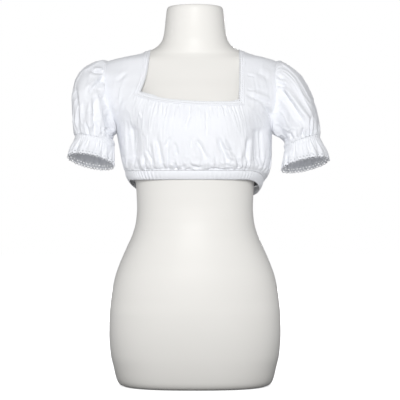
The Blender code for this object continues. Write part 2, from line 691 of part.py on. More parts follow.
def tube_normals(rings, side):
    """Outward normals of a tube of rings."""
    around = np.roll(rings, -1, axis=1) - np.roll(rings, 1, axis=1)
    along = np.gradient(rings, axis=0)
    normals = np.cross(around, along)
    normals /= np.linalg.norm(normals, axis=-1, keepdims=True)
    centres = rings.mean(axis=1, keepdims=True)
    facing = ((rings - centres) * normals).sum(axis=-1)
    return normals * (1 if facing.sum() > 0 else -1)


def make_sleeve(side, paint, home):
    """The puffed sleeve, gathered at its head and into the elastic."""
    rolls = np.linspace(0, 2 * math.pi, RING_SIDES, endpoint=False)
    head = armhole(side, rolls)
    head[:, 0] += side.out * 2 * SEAM_GAP
    top, bottom = head[0], head[RING_SIDES // 2]
    flat = SleeveRing(
        side.out * bottom[0], bottom[2], side.out * top[0], top[2],
        ARMHOLE_HALF_DEPTH, (top[1] + bottom[1]) / 2, 0,
    )
    bow = head - sleeve_ring(side, flat, rolls)
    rings = [head]
    for place, ring in enumerate(SLEEVE_RINGS[side.name], start=1):
        keep = max(0.0, 1 - place / HEAD_RINGS) ** 2
        rings.append(sleeve_ring(side, ring, rolls) + keep * bow)
    rings = np.array(rings)
    share = np.linspace(0, 1, len(rings))[:, None]
    upper = smoothstep(-0.5, 0.3, np.cos(rolls))[None, :]
    pleat = np.cos(HEAD_GATHERS * rolls)[None, :] * HEAD_GATHER * upper
    head_fade = smoothstep(0, 0.12, share) * (1 - smoothstep(0.30, 0.60, share))
    outer_side = 0.12 + 0.88 * smoothstep(-1, 0.2, np.cos(rolls))
    pucker = (np.cos(CUFF_GATHERS * rolls) * CUFF_GATHER * outer_side)[None, :]
    cuff_fade = smoothstep(0.55, 0.9, share) * (1 - 0.7 * smoothstep(0.93, 1, share))
    out = pleat * head_fade + pucker * cuff_fade
    rings = rings + tube_normals(rings, side) * out[..., None]
    name = "sleeve_" + side.name
    made = surface_object(name, rings, lambda row, column: True, True, paint, home)
    turn_out(made, away_from(rings.mean(axis=(0, 1))))
    return thicken(made, CLOTH)


def make_cuff(side, cotton, lace_paint, home):
    """The shirred band, the ruffle and the lace below the sleeve's elastic."""
    parts = (
        CuffPart("cuff_band_", 0, 1, CUFF_GATHERS, BAND_RIPPLE, BAND_RIPPLE, 0, CLOTH, cotton),
        CuffPart("cuff_ruffle_", 1, 3, RUFFLE_WAVES, 0.1 * RUFFLE_WAVE, RUFFLE_WAVE, 0, CLOTH, cotton),
        CuffPart("cuff_lace_", 3, 4, RUFFLE_WAVES, RUFFLE_WAVE, RUFFLE_WAVE, LACE_DROP, LACE, lace_paint),
    )
    for part in parts:
        sides = RING_SIDES if part.waves == CUFF_GATHERS else RUFFLE_SIDES
        rolls = np.linspace(0, 2 * math.pi, sides, endpoint=False)
        whole = np.array([sleeve_ring(side, ring, rolls) for ring in CUFF_RINGS[side.name]])
        strength = np.linspace(part.wave_above, part.wave_below, part.last - part.first + 1)
        wave = strength[:, None] * np.cos(part.waves * rolls)
        taken = slice(part.first, part.last + 1)
        rings = whole[taken] + tube_normals(whole, side)[taken] * wave[..., None]
        down = unit(rings[-1] - rings[0])
        rings[0] += down * CUFF_GAP
        rings[-1] += down * (part.scallop * np.cos(2 * part.waves * rolls))[:, None]
        made = surface_object(
            part.name + side.name, rings, lambda row, column: True, True, part.paint, home
        )
        axis = rings.mean(axis=(0, 1))
        turn_out(made, from_axis(axis[0], axis[1]))
        thicken(made, part.wall)


def make_form(paint, home):
    """The dress form: one smooth solid from the hips to the top of the neck."""
    turns = np.linspace(0, 2 * math.pi, FORM_SIDES, endpoint=False)
    heights = [ring.z for ring in FORM_RINGS]
    rings = np.array([ring_points(z, turns, False) for z in heights])
    bm = bmesh.new()
    loops = [[bm.verts.new(point) for point in ring] for ring in rings]
    for lower, upper in zip(loops, loops[1:]):
        for k in range(FORM_SIDES):
            n = (k + 1) % FORM_SIDES
            bm.faces.new((lower[k], lower[n], upper[n], upper[k]))
    bm.faces.new(loops[-1])
    bm.faces.new(list(reversed(loops[0])))
    bmesh.ops.recalc_face_normals(bm, faces=bm.faces)
    mesh = bpy.data.meshes.new("dress_form")
    bm.to_mesh(mesh)
    bm.free()
    mesh.materials.append(paint)
    made = bpy.data.objects.new("dress_form", mesh)
    home.objects.link(made)
    mesh.shade_smooth()
    mesh.set_sharp_from_angle(angle=math.radians(50))
    return made


def main():
    for old in list(bpy.data.objects):
        bpy.data.objects.remove(old)
    home = collection("dirndl_blouse")
    cotton = material("white_cotton", WHITE_COTTON, 0.75)
    lace_paint = material("white_lace", WHITE_LACE, 0.85)
    plastic = material("form_plastic", FORM_WHITE, 0.30)
    make_form(plastic, home)
    _, front = make_panel(FRONT, cotton, home)
    _, back = make_panel(BACK, cotton, home)
    make_casing(cotton, home)
    make_neck_trim(front, back, cotton, lace_paint, home)
    for side in (RIGHT, LEFT):
        make_sleeve(side, cotton, home)
        make_cuff(side, cotton, lace_paint, home)


main()
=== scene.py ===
"""Dirndl blouse on a limbless dress form: what a render shows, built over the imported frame.

Metres, +Z up. The form stands on Z = 0 with its own axis on the Z axis, and its front faces -Y.
The wearer's right side is at -X and the left side at +X. "Out" is away from the centre line.
Angles round the body (turn) are 0 at the front centre, +90 degrees at the wearer's left.
Angles round a sleeve (roll) are 0 at its top or outer side, 90 at its front, 180 at its inner side.
"""

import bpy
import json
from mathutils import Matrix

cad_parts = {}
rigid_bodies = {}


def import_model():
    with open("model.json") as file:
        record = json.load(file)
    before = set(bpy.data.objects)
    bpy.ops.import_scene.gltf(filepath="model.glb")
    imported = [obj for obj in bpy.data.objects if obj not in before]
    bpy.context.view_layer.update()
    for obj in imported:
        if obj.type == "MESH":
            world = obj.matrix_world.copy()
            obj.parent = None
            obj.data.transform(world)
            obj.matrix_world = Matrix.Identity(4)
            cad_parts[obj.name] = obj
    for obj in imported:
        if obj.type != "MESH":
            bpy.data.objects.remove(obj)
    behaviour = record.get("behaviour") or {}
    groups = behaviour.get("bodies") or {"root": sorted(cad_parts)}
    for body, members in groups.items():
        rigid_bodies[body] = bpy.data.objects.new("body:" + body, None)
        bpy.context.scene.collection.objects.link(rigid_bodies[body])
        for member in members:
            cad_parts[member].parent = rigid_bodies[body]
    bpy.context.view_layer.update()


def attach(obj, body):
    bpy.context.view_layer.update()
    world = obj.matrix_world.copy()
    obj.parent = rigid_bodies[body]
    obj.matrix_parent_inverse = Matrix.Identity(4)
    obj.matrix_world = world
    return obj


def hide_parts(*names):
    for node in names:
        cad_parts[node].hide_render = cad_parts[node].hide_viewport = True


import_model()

import json
import math
from collections import namedtuple

import bmesh
import bpy
import numpy as np
from mathutils import Vector

MM = 0.001

# Camera and light
CAMERA_AT = (0.0105, -3.0, 0.388)
SENSOR = 36.0
VIEW_WIDTH = 0.84
WORLD_LIGHT_ABOVE = 0.28
WORLD_LIGHT_BELOW = 0.66
SOFTBOX_AT = (-0.10, -2.85, 1.20)
SOFTBOX_AIM = (0.0, 0.0, 0.40)
SOFTBOX_SIZE = 0.90
SOFTBOX_POWER = 60.0
BACK_LIGHT_AT = (0.30, 3.20, 1.10)
BACK_LIGHT_SIZE = 1.20
BACK_LIGHT_POWER = 48.0
LIGHT_COLOUR = (1.0, 0.995, 0.985)
FLOOR_SIZE = 14.0
FLOOR_DROP = 0.0005
FLOOR_GLOW = 0.74
# A dark disc under the floor, seen by diffuse light only, that keeps the form's foot in shade
FLAG_RADIUS = 0.36
FLAG_SIDES = 48
FLAG_DROP = 0.002

# Cloth and seams
CLOTH = 0.0005
SEAM_GAP = 0.0005
CLEAR_OF_FORM = 0.0009
CLEAR_BELOW = 0.660

# Sewing
STITCH_PITCH = 0.0030
STITCH_LENGTH = 0.0021
STITCH_HALF_WIDTH = 0.00022
STITCH_LIFT = 0.00008
CASING_SEWING_ROWS = (2, 15)
ARMHOLE_SEWING_ROW = 4
CUFF_SEWING_ROWS = (6, 13, 59)

# Hem: an elastic casing that sits level in front and dips at the back
HEM_FRONT_Z = 0.4290
HEM_BACK_Z = 0.3970
HEM_DIP_LENGTH = math.radians(75)
CASING_HEIGHT = 0.0190
CASING_ROLL = 0.0022
CASING_TILT = 0.0030
CASING_GATHERS = 96
CASING_GATHER = 0.00110
CASING_SHIRRED_FROM = (-0.136, -0.124)
CASING_SHIRRED_TO = (-0.090, -0.072)
CASING_ROWS = 18
CASING_COLUMNS = 760

# Armhole: a ring that stands nearly upright on each shoulder
ARMHOLE_Z = 0.6050
ARMHOLE_HALF_HEIGHT = 0.0750
ARMHOLE_HALF_DEPTH = 0.0560

# Blouse body
BLOUSING = 0.0060
BLOUSING_RIGHT_END = (-0.145, -0.100)
BLOUSING_RISE = 0.0130
BLOUSING_FADE = 0.0550
BLOUSING_SEAM_HEIGHTS = (0.030, 0.060)
SEAM_FADE = 0.035
HEM_GATHER = 0.0017
HEM_GATHER_LENGTH = 0.0300
HEM_GATHER_START = 0.010
CREASE_DEPTH = 1.45
FLANK_CREASE_DEPTH = 1.30
FLANK = (0.082, 0.138)
FLANK_FOOT = (0.004, 0.030)
FLANK_TOP = (0.535, 0.600)
FLANK_FALL = 0.0105
STREAK = 0.0018
CRUMPLE = 0.0024
CRUMPLE_HEIGHT = 0.024
PANEL_HEIGHT = 0.150
NECK_GATHER = 0.0006
NECK_GATHER_LENGTH = 0.0150
BUST_OUT = 0.0750
BUST_Z = 0.5480
BUST_RISE = 0.0150
BUST_TALL = 0.0420
BUST_WIDE_CLOTH = 0.0560
BUST_WIDE_FORM = 0.0400
SEAT_LIFT = 0.0014
SEAT_HEIGHTS = (0.655, 0.680)
CHEST_TO_SHOULDER = (0.600, 0.670)
STRAP_ANCHOR_Z = 0.6000
SHOULDER_HEIGHTS = (0.668, 0.740)

# Neckline trim
BINDING_WIDTH = 0.0030
BINDING_LAP = 0.0010
BINDING_LIFT = 0.0005
BINDING_SWELL = 0.0006
LACE_TUCK = 0.0006
NECK_MOTIFS = 190
CHEST_MIDDLE = (0, 0.012, 0.560)
NECK_MIDDLE = (0, 0.010, 0.680)
LACE_FRONT_WIDTH = 0.0065
LACE_SIDE_WIDTH = 0.0095

Ring = namedtuple("Ring", "z half_width front back centre power")
FORM_SIDES = 144
FORM_ROWS = 260
FORM_MIDDLE = (0, 0, 0.35)
FORM_RINGS = [
    Ring(0.000, 0.1490, 0.0930, 0.1090, 0.000, 2.5),
    Ring(0.004, 0.1580, 0.1010, 0.1170, 0.000, 2.5),
    Ring(0.014, 0.1640, 0.1055, 0.1215, 0.000, 2.5),
    Ring(0.040, 0.1705, 0.1082, 0.1252, 0.000, 2.5),
    Ring(0.067, 0.1765, 0.1095, 0.1275, 0.000, 2.5),
    Ring(0.110, 0.1795, 0.1100, 0.1290, 0.000, 2.5),
    Ring(0.151, 0.1785, 0.1090, 0.1270, 0.000, 2.5),
    Ring(0.183, 0.1755, 0.1070, 0.1220, 0.000, 2.4),
    Ring(0.225, 0.1680, 0.1035, 0.1110, 0.000, 2.4),
    Ring(0.256, 0.1575, 0.1000, 0.1010, 0.000, 2.3),
    Ring(0.288, 0.1435, 0.0965, 0.0910, 0.000, 2.3),
    Ring(0.319, 0.1300, 0.0925, 0.0840, 0.000, 2.2),
    Ring(0.345, 0.1235, 0.0895, 0.0810, 0.000, 2.2),
    Ring(0.371, 0.1215, 0.0885, 0.0800, 0.000, 2.2),
    Ring(0.400, 0.1225, 0.0905, 0.0820, 0.000, 2.2),
    Ring(0.430, 0.1250, 0.0945, 0.0850, 0.000, 2.2),
    Ring(0.470, 0.1315, 0.1000, 0.0900, 0.001, 2.2),
    Ring(0.510, 0.1385, 0.1060, 0.0945, 0.003, 2.2),
    Ring(0.548, 0.1440, 0.1100, 0.0970, 0.005, 2.2),
    Ring(0.585, 0.1490, 0.1080, 0.0970, 0.008, 2.2),
    Ring(0.615, 0.1535, 0.0990, 0.0940, 0.010, 2.2),
    Ring(0.640, 0.1580, 0.0890, 0.0880, 0.012, 2.1),
    Ring(0.660, 0.1615, 0.0800, 0.0810, 0.012, 2.0),
    Ring(0.672, 0.1620, 0.0740, 0.0760, 0.012, 2.0),
    Ring(0.6790, 0.1590, 0.0705, 0.0725, 0.012, 2.0),
    Ring(0.6835, 0.1510, 0.0680, 0.0700, 0.012, 2.0),
    Ring(0.6870, 0.1390, 0.0665, 0.0680, 0.012, 2.0),
    Ring(0.6905, 0.1260, 0.0650, 0.0665, 0.012, 2.0),
    Ring(0.6950, 0.1120, 0.0635, 0.0645, 0.011, 2.0),
    Ring(0.7005, 0.0980, 0.0620, 0.0625, 0.010, 2.0),
    Ring(0.7070, 0.0850, 0.0605, 0.0600, 0.009, 2.0),
    Ring(0.7150, 0.0750, 0.0590, 0.0580, 0.008, 2.0),
    Ring(0.7260, 0.0680, 0.0575, 0.0565, 0.006, 2.0),
    Ring(0.7450, 0.0640, 0.0570, 0.0560, 0.003, 2.0),
    Ring(0.7680, 0.0615, 0.0570, 0.0560, 0.001, 2.0),
    Ring(0.7880, 0.0590, 0.0560, 0.0555, 0.000, 2.0),
    Ring(0.7920, 0.0565, 0.0540, 0.0535, 0.000, 2.0),
]

# How far the cloth stands off the form at each height, at the wearer's right and left side,
# in front and at the back
Ease = namedtuple("Ease", "z right left front back")
CLOTH_EASE = [
    Ease(0.385, 0.0120, 0.0115, 0.0040, 0.0040),
    Ease(0.420, 0.0150, 0.0165, 0.0048, 0.0060),
    Ease(0.445, 0.0190, 0.0225, 0.0062, 0.0085),
    Ease(0.470, 0.0220, 0.0250, 0.0085, 0.0110),
    Ease(0.500, 0.0225, 0.0235, 0.0090, 0.0110),
    Ease(0.530, 0.0235, 0.0210, 0.0075, 0.0080),
    Ease(0.560, 0.0370, 0.0250, 0.0050, 0.0060),
    Ease(0.590, 0.0530, 0.0360, 0.0036, 0.0045),
    Ease(0.620, 0.0600, 0.0395, 0.0032, 0.0036),
    Ease(0.645, 0.0590, 0.0360, 0.0028, 0.0032),
    Ease(0.663, 0.0440, 0.0260, 0.0026, 0.0028),
    Ease(0.680, 0.0240, 0.0110, 0.0022, 0.0024),
    Ease(0.688, 0.0110, 0.0050, 0.0018, 0.0018),
    Ease(0.697, 0.0016, 0.0014, 0.0016, 0.0016),
    Ease(0.730, 0.0012, 0.0012, 0.0016, 0.0016),
]

# The front neckline from the wearer's right corner to the left one
NeckPoint = namedtuple("NeckPoint", "x z")
FRONT_NECK = [
    NeckPoint(-0.1240, 0.6040),
    NeckPoint(-0.1100, 0.5980),
    NeckPoint(-0.0900, 0.5925),
    NeckPoint(-0.0600, 0.5865),
    NeckPoint(-0.0200, 0.5825),
    NeckPoint(0.0350, 0.5800),
    NeckPoint(0.0800, 0.5805),
    NeckPoint(0.0995, 0.5820),
]
BACK_NECK = [
    NeckPoint(-0.1040, 0.6560),
    NeckPoint(-0.0500, 0.6420),
    NeckPoint(0.0000, 0.6385),
    NeckPoint(0.0500, 0.6420),
    NeckPoint(0.1000, 0.6560),
]

# Rows and columns of each panel. "middle" columns lie between the neckline's corners
Panel = namedtuple(
    "Panel",
    "name front neck underarm_row neck_row rows strap_columns middle_columns hem_turns gathers",
)
FRONT = Panel("front", True, FRONT_NECK, 60, 90, 220, 40, 210, (-56, 47), 31)
BACK = Panel("back", False, BACK_NECK, 48, 88, 144, 32, 150, (-50, 50), 26)

# Each side: which way is out, where the side seam meets the hem, where the strap's neck edge
# crosses the shoulder, and where the hem starts to dip
Side = namedtuple("Side", "name out seam_turn shoulder_x dip_turn")
RIGHT = Side("right", -1, math.radians(-95), -0.1040, math.radians(72))
LEFT = Side("left", 1, math.radians(79), 0.1030, math.radians(44))

# Sleeve rings from the armhole to the elastic: the inner and outer points seen from the
# front, half the depth from front to back, the centre's place along Y, and the forward tilt
SleeveRing = namedtuple("SleeveRing", "inner_out inner_z outer_out outer_z half_depth y tilt")
SLEEVE_RINGS = {
    "right": [
        SleeveRing(0.1690, 0.5240, 0.1970, 0.6840, 0.0620, 0.009, 0),
        SleeveRing(0.1710, 0.5215, 0.2150, 0.6780, 0.0675, 0.004, 1),
        SleeveRing(0.1720, 0.5195, 0.2350, 0.6640, 0.0710, -0.001, 3),
        SleeveRing(0.1725, 0.5180, 0.2500, 0.6410, 0.0720, -0.006, 5),
        SleeveRing(0.1725, 0.5160, 0.2570, 0.6090, 0.0710, -0.010, 6),
        SleeveRing(0.1720, 0.5140, 0.2580, 0.5760, 0.0680, -0.014, 8),
        SleeveRing(0.1702, 0.5125, 0.2550, 0.5460, 0.0600, -0.018, 8),
        SleeveRing(0.1670, 0.5050, 0.2500, 0.5230, 0.0490, -0.021, 6),
    ],
    "left": [
        SleeveRing(0.1690, 0.5240, 0.1840, 0.6800, 0.0620, 0.009, 0),
        SleeveRing(0.1740, 0.5210, 0.2000, 0.6710, 0.0675, 0.004, 1),
        SleeveRing(0.1785, 0.5180, 0.2180, 0.6540, 0.0710, -0.001, 3),
        SleeveRing(0.1820, 0.5150, 0.2340, 0.6290, 0.0720, -0.006, 5),
        SleeveRing(0.1850, 0.5120, 0.2470, 0.5990, 0.0700, -0.010, 6),
        SleeveRing(0.1870, 0.5090, 0.2550, 0.5700, 0.0670, -0.014, 8),
        SleeveRing(0.1875, 0.5045, 0.2590, 0.5440, 0.0600, -0.018, 8),
        SleeveRing(0.1870, 0.4980, 0.2600, 0.5220, 0.0480, -0.021, 6),
    ],
}
# Below the elastic: the shirred band, the flared ruffle and its lace edge
CUFF_RINGS = {
    "right": [
        SleeveRing(0.1670, 0.5050, 0.2500, 0.5230, 0.0490, -0.0210, 6),
        SleeveRing(0.1680, 0.4955, 0.2520, 0.5130, 0.0490, -0.0225, 7),
        SleeveRing(0.1690, 0.4835, 0.2570, 0.5005, 0.0510, -0.0240, 9),
        SleeveRing(0.1690, 0.4710, 0.2620, 0.4885, 0.0530, -0.0260, 12),
        SleeveRing(0.1690, 0.4565, 0.2650, 0.4750, 0.0540, -0.0280, 14),
    ],
    "left": [
        SleeveRing(0.1870, 0.4980, 0.2600, 0.5220, 0.0480, -0.0210, 6),
        SleeveRing(0.1860, 0.4875, 0.2630, 0.5115, 0.0480, -0.0225, 7),
        SleeveRing(0.1840, 0.4755, 0.2700, 0.4965, 0.0500, -0.0240, 9),
        SleeveRing(0.1820, 0.4630, 0.2760, 0.4815, 0.0520, -0.0260, 12),
        SleeveRing(0.1800, 0.4490, 0.2790, 0.4690, 0.0530, -0.0280, 13),
    ],
}
SLEEVE_TUCK = 0.0012
SLEEVE_BROAD = 0.0022
SLEEVE_WRINKLE = 0.0020
SLEEVE_CREASE_DEPTH = 1.8
HEAD_RINGS = 5
HEAD_GATHERS = 13
HEAD_GATHER = 0.0012
CUFF_GATHERS = 25
CUFF_GATHER = 0.0015
BAND_GATHERS = 46
BAND_GATHER = 0.0007
RUFFLE_WAVES = 16
RUFFLE_WAVE = 0.0026
RUFFLE_GATHER = 0.0013
SLEEVE_SIDES = 240
SLEEVE_ROWS = 110
RUFFLE_SIDES = 320
CUFF_ROWS = 81
RUFFLE_FIRST_ROW = 20
LACE_FIRST_ROW = 60
CUFF_MOTIFS = 44

# Creases, in millimetres, each through three points seen from the front or the back. Depth is
# how far the cloth goes in, or comes out where it is negative, and width is half the crease's
Crease = namedtuple("Crease", "x1 z1 x2 z2 x3 z3 depth width")
FRONT_CREASES = [
    # long folds of the blousing
    Crease(1, 511, 14, 491, 25, 468, 3.2, 4.2),
    Crease(24, 467, 26, 458, 25, 448, -1.8, 3.2),
    Crease(45, 518, 58, 487, 68, 465, 3.0, 4.6),
    Crease(54, 514, 67, 487, 76, 466, -2.0, 4.2),
    Crease(60, 493, 66, 490, 73, 487, 1.2, 2.2),
    Crease(-76, 514, -70, 480, -64, 449, 3.3, 4.6),
    Crease(-84, 508, -79, 484, -74, 456, -1.6, 4.2),
    Crease(-47, 515, -53, 506, -58, 497, 1.9, 3.0),
    Crease(-41, 505, -38, 492, -35, 479, 1.9, 3.0),
    Crease(-9, 513, -7, 503, -5, 494, 1.5, 2.8),
    Crease(23, 576, 24, 543, 24, 512, 1.5, 2.6),
    Crease(-6, 563, -15, 547, -18, 532, 1.5, 2.8),
    # short puffs over the casing
    Crease(-14, 466, 2, 455, 13, 459, 2.2, 3.0),
    Crease(-46, 464, -45, 457, -44, 449, -1.8, 3.2),
    Crease(-39, 463, -38, 457, -38, 450, 1.6, 2.2),
    Crease(-33, 464, -32, 457, -32, 450, -1.5, 3.0),
    Crease(-22, 462, -22, 456, -23, 449, 1.4, 2.4),
    Crease(36, 478, 39, 470, 41, 462, -1.5, 2.6),
    Crease(30, 454, 44, 451, 59, 449, 1.6, 2.2),
    Crease(60, 463, 66, 459, 72, 455, 1.7, 3.0),
    Crease(77, 479, 80, 466, 82, 453, -1.6, 2.4),
    Crease(88, 470, 88, 461, 87, 452, 1.4, 2.6),
    # gathers hanging from the binding
    Crease(-77, 588, -77, 574, -78, 561, 1.0, 1.9),
    Crease(-66, 587, -67, 571, -67, 557, 1.1, 1.8),
    Crease(-60, 585, -60, 570, -61, 555, 0.9, 1.7),
    Crease(-43, 583, -43, 566, -44, 548, 1.1, 2.0),
    Crease(-30, 582, -30, 573, -30, 562, 0.7, 1.7),
    Crease(-10, 580, -10, 568, -11, 556, 0.9, 1.8),
    Crease(9, 579, 10, 567, 10, 553, 1.0, 1.8),
    Crease(31, 578, 31, 567, 32, 554, 1.0, 1.8),
    Crease(48, 578, 48, 566, 49, 551, 1.0, 1.9),
    Crease(60, 578, 60, 568, 61, 557, 0.8, 1.7),
    Crease(76, 578, 76, 569, 77, 560, 0.7, 1.7),
    # the wearer's right flank
    Crease(-144, 556, -143, 516, -142, 476, -1.0, 2.8),
    Crease(-137, 552, -137, 534, -136, 516, -0.9, 2.2),
    Crease(-133, 546, -128, 500, -123, 452, 1.8, 3.6),
    Crease(-129, 548, -128, 504, -126, 462, 5.4, 15.0),
    Crease(-108, 482, -108, 464, -107, 446, -2.0, 3.6),
    Crease(-99, 482, -99, 466, -98, 449, 2.3, 3.0),
    Crease(-96, 492, -90, 480, -85, 468, 1.5, 2.2),
    Crease(-114, 566, -111, 559, -109, 552, -1.3, 2.0),
    # the wearer's left flank
    Crease(108, 518, 104, 492, 99, 466, 3.4, 5.0),
    Crease(130, 540, 129, 502, 128, 458, 5.0, 15.0),
    Crease(122, 526, 121, 490, 121, 453, 1.6, 3.4),
    Crease(132, 540, 131, 495, 131, 449, -1.1, 3.0),
    Crease(136, 535, 135, 500, 135, 465, 1.4, 2.6),
    # pulls towards the armholes
    Crease(104, 604, 128, 595, 159, 585, 2.4, 4.2),
    Crease(112, 612, 132, 604, 154, 598, -1.2, 4.6),
    Crease(136, 586, 151, 572, 161, 555, 2.6, 4.2),
    Crease(108, 644, 115, 644, 123, 643, 1.2, 2.6),
    Crease(108, 614, 114, 613, 121, 613, 1.2, 2.4),
    Crease(128, 652, 140, 646, 152, 640, 1.4, 7.0),
    Crease(-121, 615, -123, 609, -126, 603, 1.4, 2.6),
    Crease(-138, 650, -150, 642, -160, 632, 1.2, 4.6),
    Crease(-150, 596, -158, 580, -162, 562, 1.8, 4.4),
]
BACK_CREASES = [
    Crease(-118, 500, -112, 468, -108, 430, 2.8, 4.6),
    Crease(-92, 512, -88, 470, -86, 432, 3.0, 4.4),
    Crease(-66, 486, -61, 458, -60, 428, 2.4, 3.8),
    Crease(-44, 520, -38, 478, -35, 430, 2.8, 4.4),
    Crease(-30, 478, -27, 456, -27, 432, -1.8, 3.6),
    Crease(-12, 500, -7, 462, -8, 428, 2.6, 4.0),
    Crease(4, 470, 8, 452, 9, 430, -1.6, 3.6),
    Crease(20, 530, 22, 480, 26, 430, 3.0, 4.6),
    Crease(41, 480, 44, 458, 44, 432, 2.0, 3.4),
    Crease(58, 512, 63, 472, 68, 432, 2.8, 4.4),
    Crease(80, 472, 84, 452, 86, 434, -1.8, 3.8),
    Crease(94, 506, 98, 470, 104, 436, 2.8, 4.6),
    Crease(122, 520, 124, 484, 126, 446, 2.4, 3.6),
    Crease(-136, 540, -132, 498, -130, 456, 2.4, 3.6),
    Crease(-40, 636, -41, 616, -43, 592, 1.1, 2.4),
    Crease(-14, 634, -14, 610, -16, 586, 1.2, 2.4),
    Crease(12, 634, 12, 616, 13, 596, 1.0, 2.2),
    Crease(38, 636, 39, 610, 42, 580, 1.2, 2.6),
    Crease(-112, 620, -130, 600, -142, 574, 2.2, 4.6),
    Crease(110, 622, 128, 604, 140, 576, 2.2, 4.6),
]
# Sleeve creases, seen from the front, with X out from the centre line
SLEEVE_FRONT_CREASES = {
    "right": [
        Crease(216, 656, 200, 653, 186, 659, 2.4, 4.0),
        Crease(186, 646, 201, 626, 220, 603, 3.0, 5.0),
        Crease(182, 628, 194, 612, 206, 594, -1.8, 5.0),
        Crease(197, 619, 197, 608, 196, 596, 2.0, 5.0),
        Crease(206, 601, 205, 562, 205, 519, 2.9, 4.6),
        Crease(214, 592, 214, 560, 213, 526, -1.8, 5.0),
        Crease(249, 620, 243, 586, 239, 527, 2.8, 4.2),
        Crease(232, 600, 231, 566, 229, 534, 1.4, 5.0),
        Crease(242, 532, 224, 516, 202, 512, 2.6, 3.6),
        Crease(184, 568, 178, 548, 172, 530, 2.4, 8.0),
        Crease(184, 538, 182, 529, 180, 520, 1.6, 2.6),
        Crease(163, 533, 168, 525, 174, 518, 1.6, 2.6),
        Crease(192, 540, 191, 530, 191, 518, 1.4, 2.6),
        Crease(220, 540, 219, 530, 218, 520, 1.4, 2.8),
    ],
    "left": [
        Crease(169, 647, 176, 642, 184, 637, 1.8, 3.2),
        Crease(159, 631, 174, 627, 189, 623, 2.1, 3.6),
        Crease(173, 623, 197, 585, 228, 539, 3.4, 5.0),
        Crease(184, 622, 208, 584, 236, 544, -2.2, 6.0),
        Crease(239, 562, 238, 538, 238, 516, 2.0, 2.8),
        Crease(246, 560, 245, 538, 245, 516, 1.6, 2.2),
        Crease(221, 536, 220, 526, 220, 516, 2.2, 4.0),
        Crease(193, 527, 198, 520, 203, 514, 1.6, 2.6),
        Crease(162, 550, 176, 520, 189, 498, -2.4, 4.0),
        Crease(207, 534, 208, 524, 209, 514, 1.5, 2.6),
        Crease(230, 534, 230, 526, 231, 515, 1.4, 2.4),
    ],
}
SLEEVE_BACK_CREASES = [
    Crease(204, 652, 194, 630, 192, 606, 2.4, 4.6),
    Crease(186, 640, 200, 612, 214, 578, 2.8, 5.2),
    Crease(222, 612, 222, 572, 220, 530, 2.8, 4.8),
    Crease(240, 596, 236, 566, 234, 530, 2.2, 4.0),
    Crease(200, 574, 200, 548, 202, 520, 2.4, 4.6),
    Crease(184, 560, 188, 540, 192, 520, 1.8, 3.6),
    Crease(212, 556, 211, 540, 211, 522, -1.6, 3.4),
]


def smoothstep(low, high, value):
    """0 below low, 1 above high, and a soft S between."""
    t = np.clip((value - low) / (high - low), 0, 1)
    return t * t * (3 - 2 * t)


def unit(vectors):
    """Vectors scaled to length 1."""
    return vectors / np.linalg.norm(vectors, axis=-1, keepdims=True)


def measured_along(line):
    """The length along a polyline at each of its points."""
    return np.concatenate([[0], np.cumsum(np.linalg.norm(np.diff(line, axis=0), axis=1))])


def neck_columns(panel):
    """A panel's columns at its neckline's two corners."""
    return panel.strap_columns, panel.strap_columns + panel.middle_columns


def cubic(t, start, end, leaving, arriving):
    """A cubic from start to end as t goes from 0 to 1, with its slopes at both ends."""
    return (
        (2 * t**3 - 3 * t**2 + 1) * start
        + (t**3 - 2 * t**2 + t) * leaving
        + (3 * t**2 - 2 * t**3) * end
        + (t**3 - t**2) * arriving
    )


def through(table, column, at):
    """A smooth cubic, with no overshoot, through one column against a table's first column."""
    places = np.array([row[0] for row in table])
    values = np.array([getattr(row, column) for row in table])
    rises = np.diff(values) / np.diff(places)
    before, after = rises[:-1], rises[1:]
    mean = 2 * before * after / np.where(before * after > 0, before + after, 1)
    slopes = np.concatenate([rises[:1], np.where(before * after > 0, mean, 0), rises[-1:]])
    at = np.clip(at, places[0], places[-1])
    k = np.clip(np.searchsorted(places, at, side="right") - 1, 0, len(places) - 2)
    step = places[k + 1] - places[k]
    t = (at - places[k]) / step
    return cubic(t, values[k], values[k + 1], step * slopes[k], step * slopes[k + 1])


def hem_z(turn):
    """Height of the hem's lower edge at an angle round the body."""
    start = np.where(turn < 0, RIGHT.dip_turn, LEFT.dip_turn)
    dip = smoothstep(0, HEM_DIP_LENGTH, np.abs(turn) - start)
    return HEM_FRONT_Z + (HEM_BACK_Z - HEM_FRONT_Z) * dip


def bust(x, z, wide):
    """Extra depth in front for the bust of a general figure."""
    tall = np.exp(-(((z - BUST_Z) / BUST_TALL) ** 2) / 2)
    left = np.exp(-(((x - BUST_OUT) / wide) ** 2) / 2)
    right = np.exp(-(((x + BUST_OUT) / wide) ** 2) / 2)
    return BUST_RISE * tall * (left + right)


def girth(z, x, cloth):
    """Half width on the side of x, front depth, back depth, centre and power of the section at z."""
    if cloth:
        half_width, front, back, centre, power = girth(
            z - SEAT_LIFT * smoothstep(*SEAT_HEIGHTS, z), x, False
        )
        at_side = np.where(x < 0, through(CLOTH_EASE, "right", z), through(CLOTH_EASE, "left", z))
        front = front + through(CLOTH_EASE, "front", z)
        back = back + through(CLOTH_EASE, "back", z)
        return half_width + at_side, front, back, centre, power
    columns = "half_width", "front", "back", "centre", "power"
    return [through(FORM_RINGS, column, z) for column in columns]


